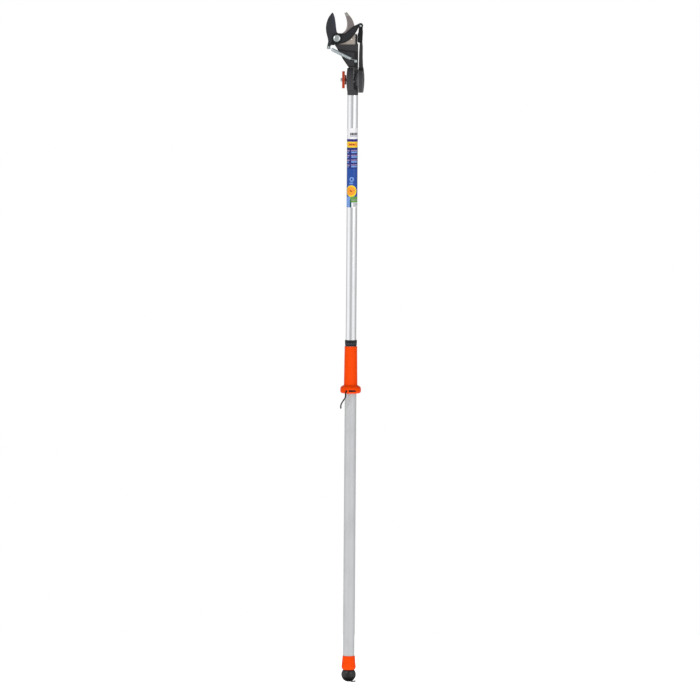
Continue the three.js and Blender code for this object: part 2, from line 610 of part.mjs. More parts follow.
lowerPole();
lockCollar();
pullHandle();
freeCords();
upperPole();
swivelSocket();
tubeStrap();
clampKnob();
headShells();
headHardware();
guideRoller();
counterBlade();
movingBlade();
pivotHardware();
strapBlock();
strap();
returnSpring();

for (const piece of lopper.children) piece.position.z -= HOLD_HEIGHT;

export default lopper;
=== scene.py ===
"""Telescopic pole lopper with a bypass head: the looks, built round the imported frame.

Shapes are written in millimetres, with heights counted from the underside of the pull ball, and go into
the frame's metres in piece(). -Y is the face with the pivot bolt's head, +X the strap side.
"""

import json
import math

import bmesh
import bpy
from mathutils import Matrix, Vector

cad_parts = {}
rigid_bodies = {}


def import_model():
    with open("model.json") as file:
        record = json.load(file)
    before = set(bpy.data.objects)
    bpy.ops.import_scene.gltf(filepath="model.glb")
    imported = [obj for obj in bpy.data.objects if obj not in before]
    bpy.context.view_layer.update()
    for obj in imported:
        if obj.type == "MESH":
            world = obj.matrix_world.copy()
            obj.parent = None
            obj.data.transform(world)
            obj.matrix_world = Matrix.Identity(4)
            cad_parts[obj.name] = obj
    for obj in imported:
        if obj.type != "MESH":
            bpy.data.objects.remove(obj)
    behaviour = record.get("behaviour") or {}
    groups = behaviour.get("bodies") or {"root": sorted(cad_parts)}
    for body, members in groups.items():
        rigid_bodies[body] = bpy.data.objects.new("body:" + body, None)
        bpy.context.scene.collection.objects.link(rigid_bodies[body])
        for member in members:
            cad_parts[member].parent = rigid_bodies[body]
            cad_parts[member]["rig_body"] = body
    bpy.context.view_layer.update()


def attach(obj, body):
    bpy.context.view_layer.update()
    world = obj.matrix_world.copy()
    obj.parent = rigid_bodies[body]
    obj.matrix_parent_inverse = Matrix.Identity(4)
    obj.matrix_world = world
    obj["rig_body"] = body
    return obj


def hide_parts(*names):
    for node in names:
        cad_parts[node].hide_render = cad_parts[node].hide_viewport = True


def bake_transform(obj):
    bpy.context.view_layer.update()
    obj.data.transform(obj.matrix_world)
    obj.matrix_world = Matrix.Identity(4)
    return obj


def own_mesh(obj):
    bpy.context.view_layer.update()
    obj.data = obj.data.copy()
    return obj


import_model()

scene = bpy.context.scene
HOLD = 541.0  # height of the frame's origin above the ball's underside
TILT = 2070  # height of the axis that the head tilts about
HUB = (0, 0, TILT)
CLAMP_BORE = 4.3
COLLAR_BORE = 18.45
HANDLE_BORE = 20.45
PIN_HEIGHT = 1009  # of the pin that joins the handle to its shuttle
RIVET_HEIGHT = 2002
SLOT_HALF = 3.8
STRAP_WIDTH, STRAP_THICKNESS = 7.7, 1.2
MAP_RANGE = ("From Min", "From Max", "To Min", "To Max")
INTO_FRAME = Matrix.Scale(0.001, 4) @ Matrix.Translation((0, 0, -HOLD))


def row(x, y, z):
    return INTO_FRAME @ Vector((x, y, z))


def linear(*rgb):
    """An sRGB colour of 0-255 as linear values with alpha."""
    parts = [c / 255 for c in rgb]
    return (*[c / 12.92 if c <= 0.04045 else ((c + 0.055) / 1.055) ** 2.4 for c in parts], 1.0)


def shaded(color, factor, lift=0.0):
    return (*[c * factor + lift for c in color[:3]], 1)

# ---------- camera ----------
def place_camera():
    distance, lift, roll = 30.0, math.radians(5.0), math.radians(0.41)
    frame_height = 2.3988
    data = bpy.data.cameras.new("camera")
    data.sensor_width = 36
    data.lens = 36 * distance / frame_height
    data.clip_end = 200
    camera = bpy.data.objects.new("camera", data)
    scene.collection.objects.link(camera)
    target = row(-3, 0, 1143.0)
    away = Vector((0, -math.cos(lift), math.sin(lift)))
    turn = (-away).to_track_quat("-Z", "Y").to_matrix() @ Matrix.Rotation(roll, 3, "Z")
    camera.matrix_world = Matrix.Translation(target + distance * away) @ turn.to_4x4()
    scene.camera = camera


place_camera()


# ---------- materials ----------
class Finish:
    """A Principled material whose colour, roughness and relief vary by nodes in the object's own space."""

    def __init__(self, name, rgb, roughness, metallic=0.0, **sockets):
        self.material = bpy.data.materials.new(name)
        self.material.use_nodes = True
        self.tree = self.material.node_tree
        self.shader = self.tree.nodes["Principled BSDF"]
        self.color = linear(*rgb)
        self.roughness = roughness
        self.shader.inputs["Base Color"].default_value = self.color
        self.shader.inputs["Roughness"].default_value = roughness
        self.shader.inputs["Metallic"].default_value = metallic
        for socket, value in sockets.items():
            self.shader.inputs[socket.replace("_", " ")].default_value = value
        self.place = self.tree.nodes.new("ShaderNodeTexCoord").outputs["Object"]
        self.color_from = None
        self.relief_from = None

    def node(self, kind, **settings):
        made = self.tree.nodes.new("ShaderNode" + kind)
        for key, value in settings.items():
            if key in made.inputs:
                made.inputs[key].default_value = value
            else:
                setattr(made, key, value)
        return made

    def link(self, source, target):
        self.tree.links.new(source, target)
        return target

    def stretched(self, stretch):
        mapping = self.node("Mapping")
        mapping.inputs["Scale"].default_value = stretch
        self.link(self.place, mapping.inputs["Vector"])
        return mapping.outputs["Vector"]

    def noise(self, size, stretch=(1, 1, 1), detail=3.0):
        """Noise with features about size millimetres across."""
        made = self.node("TexNoise", Scale=1000 / size, Detail=detail)
        self.link(self.stretched(stretch), made.inputs["Vector"])
        return made.outputs["Fac"]

    def pits(self, size):
        made = self.node("TexVoronoi", Scale=1000 / size)
        self.link(self.place, made.inputs["Vector"])
        return made.outputs["Distance"]

    def fit(self, source, low, high, out_low=0.0, out_high=1.0):
        made = self.node("MapRange")
        self.link(source, made.inputs["Value"])
        for socket, value in zip(MAP_RANGE, (low, high, out_low, out_high)):
            made.inputs[socket].default_value = value
        return made.outputs["Result"]

    def blend(self, source, low, high, amount, color):
        """Mixes in another colour, up to amount, as the source goes from low to high."""
        mask = self.fit(source, low, high, 0, amount)
        mix = self.node("Mix", data_type="RGBA")
        self.link(mask, mix.inputs[0])
        if self.color_from is None:
            mix.inputs[6].default_value = self.color
        else:
            self.link(self.color_from, mix.inputs[6])
        mix.inputs[7].default_value = color
        self.color_from = mix.outputs[2]
        self.link(self.color_from, self.shader.inputs["Base Color"])

    def vary_roughness(self, source, spread, low=0.3, high=0.7):
        self.link(
            self.fit(source, low, high, max(self.roughness - spread, 0.02), self.roughness + spread),
            self.shader.inputs["Roughness"],
        )

    def relief(self, source, depth):
        """Bump of about depth millimetres."""
        bump = self.node("Bump", Strength=1.0, Distance=depth * 0.001)
        self.link(source, bump.inputs["Height"])
        if self.relief_from is not None:
            self.link(self.relief_from, bump.inputs["Normal"])
        self.relief_from = bump.outputs["Normal"]
        self.link(self.relief_from, self.shader.inputs["Normal"])


def drawn_metal(name, rgb, roughness, along=(1, 1, 0.02), shade=0.86, metallic=1.0):
    """Drawn or ground metal: fine lines along one direction, a few deeper scratches and dull patches."""
    made = Finish(name, rgb, roughness, metallic)
    lines = made.noise(0.5, along, 2)
    cloud = made.noise(38, (1, 1, 0.4), 3)
    darker = shaded(made.color, shade)
    made.blend(cloud, 0.45, 0.75, 0.8, darker)
    made.blend(lines, 0.55, 0.8, 0.35, darker)
    made.vary_roughness(lines, 0.06)
    made.relief(lines, 0.012)
    made.relief(made.fit(made.noise(5, (1, 1, 0.08), 1), 0.68, 0.72), 0.01)
    return made.material


def moulded(name, rgb, roughness, grain=0.45, depth=0.03, fade=1.05, shine=0.22):
    """Moulded plastic: a fine eroded skin, slow colour drift and rubbed, smoother patches."""
    made = Finish(name, rgb, roughness, Specular_IOR_Level=shine)
    cloud = made.noise(24, detail=4)
    skin = made.noise(grain, detail=2)
    made.blend(cloud, 0.5, 0.75, 0.5, shaded(made.color, 0.9))
    made.blend(made.noise(9, detail=5), 0.58, 0.8, 0.35, shaded(made.color, fade))
    made.vary_roughness(cloud, 0.07)
    made.relief(skin, depth)
    made.relief(made.pits(grain * 2.2), depth * 0.5)
    return made.material


def coated(name, rgb, roughness):
    """Powder coat on steel: orange peel, dust-fine speckle and small chips showing bare steel."""
    made = Finish(name, rgb, roughness, 0.15, Specular_IOR_Level=0.25)
    peel = made.noise(1.1, detail=1)
    made.blend(made.noise(0.35, detail=2), 0.5, 0.75, 0.3, shaded(made.color, 1.6))
    made.blend(made.noise(2.4, detail=6), 0.72, 0.75, 0.7, (0.3, 0.3, 0.32, 1))
    made.vary_roughness(made.noise(11, detail=4), 0.08)
    made.relief(peel, 0.05)
    return made.material


def plated(name, rgb, roughness):
    """Zinc plating: bright, with a faint milky bloom and fine spangle."""
    made = Finish(name, rgb, roughness, 1.0)
    red, green, blue, _ = made.color
    made.blend(made.noise(4, detail=4), 0.5, 0.75, 0.6, (red * 0.8, green * 0.84, blue * 0.86, 1))
    made.vary_roughness(made.noise(1.6, detail=3), 0.1)
    made.relief(made.noise(0.6, detail=2), 0.01)
    return made.material


def printed(name, rgb):
    """Printed and laminated film: gloss over a faint dot screen and small scuffs."""
    made = Finish(name, rgb, 0.28, Specular_IOR_Level=0.25, Coat_Weight=0.12, Coat_Roughness=0.12)
    made.blend(made.pits(0.5), 0.1, 0.5, 0.12, shaded(made.color, 0.75))
    made.blend(made.noise(3.5, (1, 1, 0.3), 5), 0.66, 0.8, 0.35, shaded(made.color, 0.7, 0.25))
    made.vary_roughness(made.noise(14, detail=4), 0.07)
    made.relief(made.noise(7, detail=2), 0.02)
    return made.material


def braided(name, rgb, size=0.8):
    """Braided or woven yarn: crossing strands with a dull sheen and dusty high spots."""
    made = Finish(name, rgb, 0.85, Sheen_Weight=0.08, Sheen_Roughness=0.5, Specular_IOR_Level=0.2)
    yarn = made.noise(size * 0.35, (1, 1, 0.5), 3)
    made.blend(yarn, 0.45, 0.8, 0.7, shaded(made.color, 1.7, 0.004))
    made.blend(made.noise(6, detail=3), 0.55, 0.8, 0.3, shaded(made.color, 0.5))
    made.relief(yarn, 0.08)
    return made.material


def rubber(name, rgb, shine):
    """Rubber with dusty patches and a fine skin."""
    made = Finish(name, rgb, 0.3, Specular_IOR_Level=shine)
    made.blend(made.noise(7, detail=5), 0.55, 0.8, 0.4, shaded(made.color, 1.7))
    made.vary_roughness(made.noise(5, detail=4), 0.1)
    made.relief(made.noise(0.5, detail=2), 0.02)
    return made.material


SATIN_TUBE = drawn_metal("satin_tube", (192, 194, 196), 0.5, metallic=0.3)
BRIGHT_TUBE = drawn_metal("bright_tube", (229, 230, 232), 0.16, shade=0.93)
ORANGE = moulded("orange", (243, 72, 0), 0.46, fade=1.02, shine=0.08)
KNOB_RED = moulded("knob_red", (186, 56, 10), 0.42)
HUB_RED = moulded("hub_red", (82, 22, 12), 0.5)
BLACK = moulded("black_moulded", (30, 30, 32), 0.4, fade=1.6)
CHARCOAL = moulded("charcoal_nylon", (60, 59, 62), 0.48, grain=0.7, depth=0.04, fade=1.25)
# Painted light: a lighter grey for the neck's faces turned to -X, lifting the shade on them.
CONE_PAINTED_LIGHT = moulded("cone_painted_light", (120, 118, 122), 0.5, grain=0.7, depth=0.04)
FRAME_EDGE = moulded("frame_edge", (30, 30, 32), 0.44, grain=0.7, depth=0.04, fade=1.3)
PANEL = moulded("charcoal_panel", (54, 53, 56), 0.5, grain=1.0, depth=0.06, fade=1.25)
RING_GREY = moulded("ring_grey", (52, 60, 74), 0.42)
BALL_RUBBER = rubber("ball_rubber", (11, 10, 13), 0.52)
# Painted shade: the next two are darker, less glossy copies of the ball rubber, for the ball's lower zones.
BALL_PAINTED_SHADE = rubber("ball_painted_shade", (10, 9, 12), 0.22)
BALL_PAINTED_DEEP_SHADE = rubber("ball_painted_deep_shade", (6, 6, 7), 0.04)
CORD = braided("cord_yarn", (15, 14, 14))
WEB = braided("webbing_yarn", (50, 50, 50), 1.1)
BLADE_COAT = coated("blade_coat", (48, 51, 55), 0.38)
BLADE_GRIND = drawn_metal("blade_grind", (42, 46, 56), 0.42, along=(0.05, 1, 1), metallic=0.4)
LEVER_COAT = coated("lever_coat", (22, 23, 25), 0.4)
LEVER_PANEL = coated("lever_panel", (38, 39, 43), 0.48)
HOOK_STEEL = drawn_metal("hook_steel", (144, 136, 134), 0.36, along=(1, 1, 0.1), metallic=0.7)
# Painted light: the hook's tip and root tones are lighter copies of the same steel, standing for light it
# catches there; the grind tone is its ground bevel.
HOOK_TIP_PAINTED_LIGHT = drawn_metal("hook_tip_painted_light", (168, 166, 158), 0.36, along=(1, 1, 0.1), metallic=0.7)
HOOK_GRIND = drawn_metal("hook_grind", (130, 121, 122), 0.34, along=(0.05, 1, 1), metallic=0.7)
ROOT_PAINTED_LIGHT = drawn_metal("root_painted_light", (178, 168, 158), 0.42, along=(0.1, 1, 1), metallic=0.6)
ZINC = plated("zinc", (214, 222, 222), 0.22)
SPRING_ZINC = plated("spring_zinc", (210, 219, 221), 0.34)
BOLT_ZINC = plated("bolt_zinc", (196, 203, 202), 0.26)


# ---------- mesh tools ----------
def new_object(name, points, faces):
    mesh = bpy.data.meshes.new(name)
    mesh.from_pydata([tuple(p) for p in points], [], faces)
    made = bpy.data.objects.new(name, mesh)
    scene.collection.objects.link(made)
    shape = bmesh.new()
    shape.from_mesh(mesh)
    bmesh.ops.remove_doubles(shape, verts=shape.verts, dist=0.0005)
    bmesh.ops.recalc_face_normals(shape, faces=shape.faces)
    shape.to_mesh(mesh)
    shape.free()
    return made


def rounded(corners, radius, steps=3):
    """Rounds the corners of a closed outline. A corner may carry its own radius as a third number."""
    result = []
    for index, corner in enumerate(corners):
        here = Vector(corner[:2])
        before = Vector(corners[index - 1][:2]) - here
        after = Vector(corners[(index + 1) % len(corners)][:2]) - here
        wanted = corner[2] if len(corner) > 2 else radius
        angle = before.angle(after, math.pi)
        if wanted <= 0 or angle > math.radians(168):
            result.append(here)
            continue
        reach = min(wanted / math.tan(angle / 2), before.length * 0.45, after.length * 0.45)
        start, end = here + before.normalized() * reach, here + after.normalized() * reach
        for step in range(steps + 1):
            t = step / steps
            result.append(start * (1 - t) ** 2 + here * (2 * t * (1 - t)) + end * t * t)
    return result


def spline(points, steps=8):
    """A Catmull-Rom curve through points of any dimension, both ends included."""
    points = [Vector(p) for p in points]
    points = [2 * points[0] - points[1], *points, 2 * points[-1] - points[-2]]
    result = []
    for a, b, c, d in zip(points, points[1:], points[2:], points[3:]):
        for step in range(steps):
            t = step / steps
            bend = (2 * a - 5 * b + 4 * c - d) * t ** 2
            twist = (3 * b - a - 3 * c + d) * t ** 3
            result.append(0.5 * (2 * b + (c - a) * t + bend + twist))
    return result + [points[-2]]


def arc(x, z, radius, start, end, steps=24):
    """Points of an arc, from start to end in degrees, turning the way the angle grows or falls."""
    turns = [math.radians(start + (end - start) * i / steps) for i in range(steps + 1)]
    return [Vector((x + radius * math.cos(t), z + radius * math.sin(t))) for t in turns]


AXES = {
    "X": lambda r, s, turn: (s, r * math.cos(turn), r * math.sin(turn)),
    "Y": lambda r, s, turn: (r * math.cos(turn), s, r * math.sin(turn)),
    "Z": lambda r, s, turn: (r * math.cos(turn), r * math.sin(turn), s),
}


def lathe(name, profile, axis="Z", at=(0, 0, 0), sides=96, soft=0.35):
    """A turned solid: a closed profile of (radius, along) with its corners rounded."""
    corners = []
    for p in profile:
        own = p[2] if len(p) > 2 else soft
        corners.append((*p[:2], 0 if p[0] < 1e-6 else own))
    profile = rounded(corners, soft)
    points, faces, count = [], [], len(profile)
    for side in range(sides):
        turn = 2 * math.pi * side / sides
        points += [Vector(AXES[axis](p.x, p.y, turn)) + Vector(at) for p in profile]
    for side in range(sides):
        a, b = side * count, (side + 1) % sides * count
        for i in range(count):
            j = (i + 1) % count
            if profile[i].x > 1e-6 or profile[j].x > 1e-6:
                faces.append((a + i, a + j, b + j, b + i))
    return new_object(name, points, faces)


def rod(radius, low, high):
    return [(0, low), (radius, low), (radius, high), (0, high)]


def ring(outer, inner, low, high):
    return [(inner, low), (outer, low), (outer, high), (inner, high)]


def moved_in(outline, distances):
    """The outline moved inwards, by one distance or one for each point."""
    area = sum(a.x * b.y - b.x * a.y for a, b in zip(outline, outline[1:] + outline[:1]))
    side = 1 if area > 0 else -1
    result = []
    for i, point in enumerate(outline):
        distance = distances if isinstance(distances, (int, float)) else distances[i]
        before = (point - outline[i - 1]).normalized()
        after = (outline[(i + 1) % len(outline)] - point).normalized()
        normals = [Vector((-d.y, d.x)) * side for d in (before, after)]
        middle = normals[0] + normals[1]
        if middle.length < 1e-6:
            middle = normals[0].copy()
        middle.normalize()
        result.append(point + middle * distance / max(middle.dot(normals[0]), 0.5))
    return result


def plate(name, outline, front, back, rim=0.4, at=(0, 0), grind=None):
    """A plate standing in the XZ plane with a softened rim.

    grind gives, for each outline point, how wide and how deep the front face is ground away.
    """
    outline = [Vector(p[:2]) + Vector(at) for p in outline]
    clean = [p for i, p in enumerate(outline) if (p - outline[i - 1]).length > 1e-4]
    if grind is None:
        outline, wide, deep = clean, [rim] * len(clean), [rim] * len(clean)
    else:
        wide, deep = [g[0] for g in grind], [g[1] for g in grind]
    edge = min(rim, 0.25)
    shoulder = [0.12 * w if w <= rim else 0.02 for w in wide]
    slope = [front + d * (0.45 if w <= rim else 0.97) for w, d in zip(wide, deep)]
    rows = [
        (moved_in(outline, wide), [front] * len(outline)),
        (moved_in(outline, shoulder), slope),
        (outline, [front + d for d in deep]),
        (outline, [back - edge] * len(outline)),
        (moved_in(outline, edge), [back] * len(outline)),
    ]
    count = len(outline)
    points = [(p.x, y, p.y) for flat, ys in rows for p, y in zip(flat, ys)]
    faces = [
        (r * count + i, r * count + (i + 1) % count, (r + 1) * count + (i + 1) % count, (r + 1) * count + i)
        for r in range(len(rows) - 1) for i in range(count)
    ]
    faces += [tuple(range(count)), tuple(range((len(rows) - 1) * count, len(rows) * count))]
    return new_object(name, points, faces)


def box(name, x0, x1, y0, y1, z0, z1, soft=0.0):
    """A block; soft rounds its four corners in the XZ plane and its rims."""
    corners = [(x0, z0), (x1, z0), (x1, z1), (x0, z1)]
    return plate(name, rounded(corners, soft * 2) if soft else corners, y0, y1, rim=soft or 0.001)


def tube(name, path, radius, sides=16, relief=None, end=0.8):
    """A round bar along a path, with domed ends. relief(length, turn) scales the radius."""
    path = [Vector(p) for p in path]
    along = [0.0]
    for a, b in zip(path, path[1:]):
        along.append(along[-1] + (b - a).length)
    heading = (path[1] - path[0]).normalized()
    across = heading.orthogonal().normalized()
    points, rings = [], []

    def add_ring(centre, size, tangent, place):
        rings.append(len(points))
        other = tangent.cross(across)
        for side in range(sides):
            turn = 2 * math.pi * side / sides
            scale = size * (relief(place, turn) if relief else 1)
            points.append(centre + (across * math.cos(turn) + other * math.sin(turn)) * scale)

    for i, centre in enumerate(path):
        before, after = path[max(i - 1, 0)], path[min(i + 1, len(path) - 1)]
        tangent = (after - before).normalized()
        across = (across - tangent * across.dot(tangent)).normalized()
        if i == 0:
            for lift, size in ((-end, 0.35), (-0.75 * end, 0.72), (-0.35 * end, 0.93)):
                add_ring(centre + tangent * lift * radius, radius * size, tangent, 0)
        add_ring(centre, radius, tangent, along[i])
        if i == len(path) - 1:
            for lift, size in ((0.35 * end, 0.93), (0.75 * end, 0.72), (end, 0.35)):
                add_ring(centre + tangent * lift * radius, radius * size, tangent, along[i])
    faces = [
        (a + i, a + (i + 1) % sides, b + (i + 1) % sides, b + i)
        for a, b in zip(rings, rings[1:]) for i in range(sides)
    ]
    faces += [tuple(range(rings[0], rings[0] + sides)), tuple(range(rings[-1], rings[-1] + sides))]
    return new_object(name, points, faces)


def combine(base, operation, tools):
    for tool in tools:
        bpy.context.view_layer.update()
        modifier = base.modifiers.new("combine", "BOOLEAN")
        modifier.operation = operation
        modifier.solver = "MANIFOLD"
        modifier.object = tool
        result = bpy.data.meshes.new_from_object(base.evaluated_get(bpy.context.evaluated_depsgraph_get()))
        base.modifiers.clear()
        base.data = result
        bpy.data.objects.remove(tool)
    return base


def cut(base, *tools):
    return combine(base, "DIFFERENCE", tools)


def join(base, *others):
    return combine(base, "UNION", others)


def bore(radius, low, high, axis="Z", at=(0, 0, 0), sides=32):
    """A round cutting tool along an axis."""
    return lathe("tool", rod(radius, low, high), axis, at, sides, soft=0)


def rod_y(x, z, radius, front, back):
    return bore(radius, front, back, "Y", (x, 0, z), 48)


def slab(outline, front, back, at=(0, 0), rim=0.001):
    """A flat cutting tool with its outline in the XZ plane."""
    return plate("tool", outline, front, back, rim, at)


def split(made, height):
    """Adds an edge loop at a height, so that the two sides may be painted apart."""
    shape = bmesh.new()
    shape.from_mesh(made.data)
    everything = [*shape.verts, *shape.edges, *shape.faces]
    bmesh.ops.bisect_plane(shape, geom=everything, plane_co=(0, 0, height), plane_no=(0, 0, 1))
    shape.to_mesh(made.data)
    shape.free()
    return made


def paint(made, material, chosen):
    """Gives another material to the faces that chosen(centre, normal) picks, in millimetres."""
    made.data.materials.append(material)
    index = len(made.data.materials) - 1
    for face in made.data.polygons:
        if chosen(face.center, face.normal):
            face.material_index = index
    return made


def piece(made, body, material, cad_node, sharp=38, also=()):
    """Finishes a shape as a piece: materials, shading, metres, body and the node it replaces."""
    made.data.name = made.name
    made.data.materials.clear()
    made.data.materials.append(material)
    for face in made.data.polygons:
        face.material_index = 0
    for other, chosen in also:
        paint(made, other, chosen)
    made.data.transform(INTO_FRAME)
    made.data.polygons.foreach_set("use_smooth", [True] * len(made.data.polygons))
    made.data.set_sharp_from_angle(angle=math.radians(sharp))
    weigh = made.modifiers.new("weighted", "WEIGHTED_NORMAL")
    weigh.keep_sharp = True
    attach(made, body)
    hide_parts(cad_node)
    return made


# ---------- the free ends of cord ----------
CORD_RADIUS = 2.3
FRAYED = 7  # length of a cord's thickened end
HANDLE_CORD_ROUTE = [
    (-15, -28, 1005), (-15, -31.5, 1005), (-15.2, -35, 1004.2), (-16.3, -37.2, 1000.8),
    (-17.2, -37.9, 996), (-16.9, -38, 991), (-17.2, -37.8, 986), (-19, -37.4, 981),
    (-22, -36.8, 976), (-25.6, -36.1, 970.6), (-29, -35.4, 965), (-31.6, -34.7, 959.8),
    (-33, -34.1, 954), (-33.2, -33.8, 950), (-32.9, -33.6, 946),
]
BALL_CORD_ROUTE = [
    (5, -3, 14), (5, -3, 10), (5.1, -3, 6), (5.9, -3.1, 3), (7.9, -3.3, 0.9), (10.6, -3.4, -0.1),
    (13.6, -3.4, -0.3), (17, -3.3, 0), (20, -3.1, 0.5), (23, -2.9, 1),
]


def braid(strands, pitch):
    """Relief of a round braid: strands crossing both ways."""
    def relief(length, turn):
        way = 2 * math.pi * length / pitch
        return 0.98 + 0.04 * max(math.cos(strands * turn + way), math.cos(strands * turn - way))
    return relief


def free_cord(name, route, cad_node):
    path = spline(route, 10)
    total = sum((b - a).length for a, b in zip(path, path[1:]))
    weave = braid(4, 3.4)
    def relief(place, turn):
        near_end = max(0.0, 1 - (total - place) / FRAYED)
        return weave(place, turn) * (1 - near_end) + (0.97 + 0.2 * near_end) * near_end
    made = tube(name, path, CORD_RADIUS, 24, relief)
    piece(made, "puller", CORD, cad_node, sharp=60)


free_cord("handle_cord_end", HANDLE_CORD_ROUTE, "handle_cord")
free_cord("ball_cord_end", BALL_CORD_ROUTE, "ball_cord_tail")

# ---------- lower pole ----------
def lower_pole():
    body = "lower_pole"
    tube_shape = lathe("pole_lower_tube", ring(20, 18.5, 52, 1156.4), sides=128, soft=0.3)
    slot = slab(arc(0, 1010.2, SLOT_HALF, 0, 180) + arc(0, 847.8, SLOT_HALF, 180, 360), 10, 25)
    piece(cut(tube_shape, slot), body, SATIN_TUBE, "lower_tube")

    profile = [(20.3, 89), (20.9, 89), (21.5, 87.6)]
    ribs = [(84, 21.9), (77.5, 22.3), (71, 22.8), (64.5, 23.4)]
    for height, radius in ribs:
        profile += [
            (radius, height + 1.5), (radius - 0.5, height + 0.7),
            (radius - 0.5, height - 0.7), (radius + 0.15, height - 1.5),
        ]
    profile += [
        (24.1, 57), (24.55, 53.4), (24.6, 50, 3), (24.2, 47.2, 3), (23.3, 44.6, 2), (21.6, 41.8, 1.4),
        (20.2, 40.9, 0.6), (18.7, 40.8), (18.7, 51.7), (20.3, 51.7),
    ]
    piece(lathe("pole_end_ferrule", profile, sides=128, soft=0.5), body, ORANGE, "end_ferrule")
    piece(lathe("pole_tube_plug", ring(18.2, 3.4, 49.6, 80), soft=0.5), body, BLACK, "tube_plug")
    collar_base = lathe("pole_collar_base", ring(19.4, COLLAR_BORE, 1156.8, 1160.4), sides=128)
    piece(collar_base, body, BLACK, "collar_base")
    band = [
        (COLLAR_BORE, 1160.7), (20.1, 1160.7), (20.3, 1161.4), (20.3, 1163), (19.9, 1163.3), (19.9, 1163.9),
        (20.3, 1164.2), (20.3, 1165.8), (20.1, 1166.4), (COLLAR_BORE, 1166.4),
    ]
    piece(lathe("pole_collar_ring", band, sides=128, soft=0.15), body, RING_GREY, "collar_ring",
          also=[(BLACK, lambda c, n: c.z < 1163.1)])


def lock_collar():
    profile = [
        (COLLAR_BORE, 1166.8), (20.6, 1166.8), (20.6, 1176.6, 0.8), (20.2, 1177.6, 0.5), (19.2, 1178, 0.4),
        (COLLAR_BORE, 1178),
    ]
    collar = lathe("lock_collar_ring", profile, sides=144, soft=0.3)
    grooves = []
    for index in range(12):
        turn = math.radians(30 * index + 15)
        grooves.append(lathe(
            "tool", [(0, 1169), (1, 1169), (1.5, 1169.8), (1.5, 1175.2), (1, 1176), (0, 1176)],
            at=(21.2 * math.cos(turn), 21.2 * math.sin(turn), 0), sides=20, soft=0.2,
        ))
    piece(cut(collar, *grooves), "lock_collar", BLACK, "lock_collar")


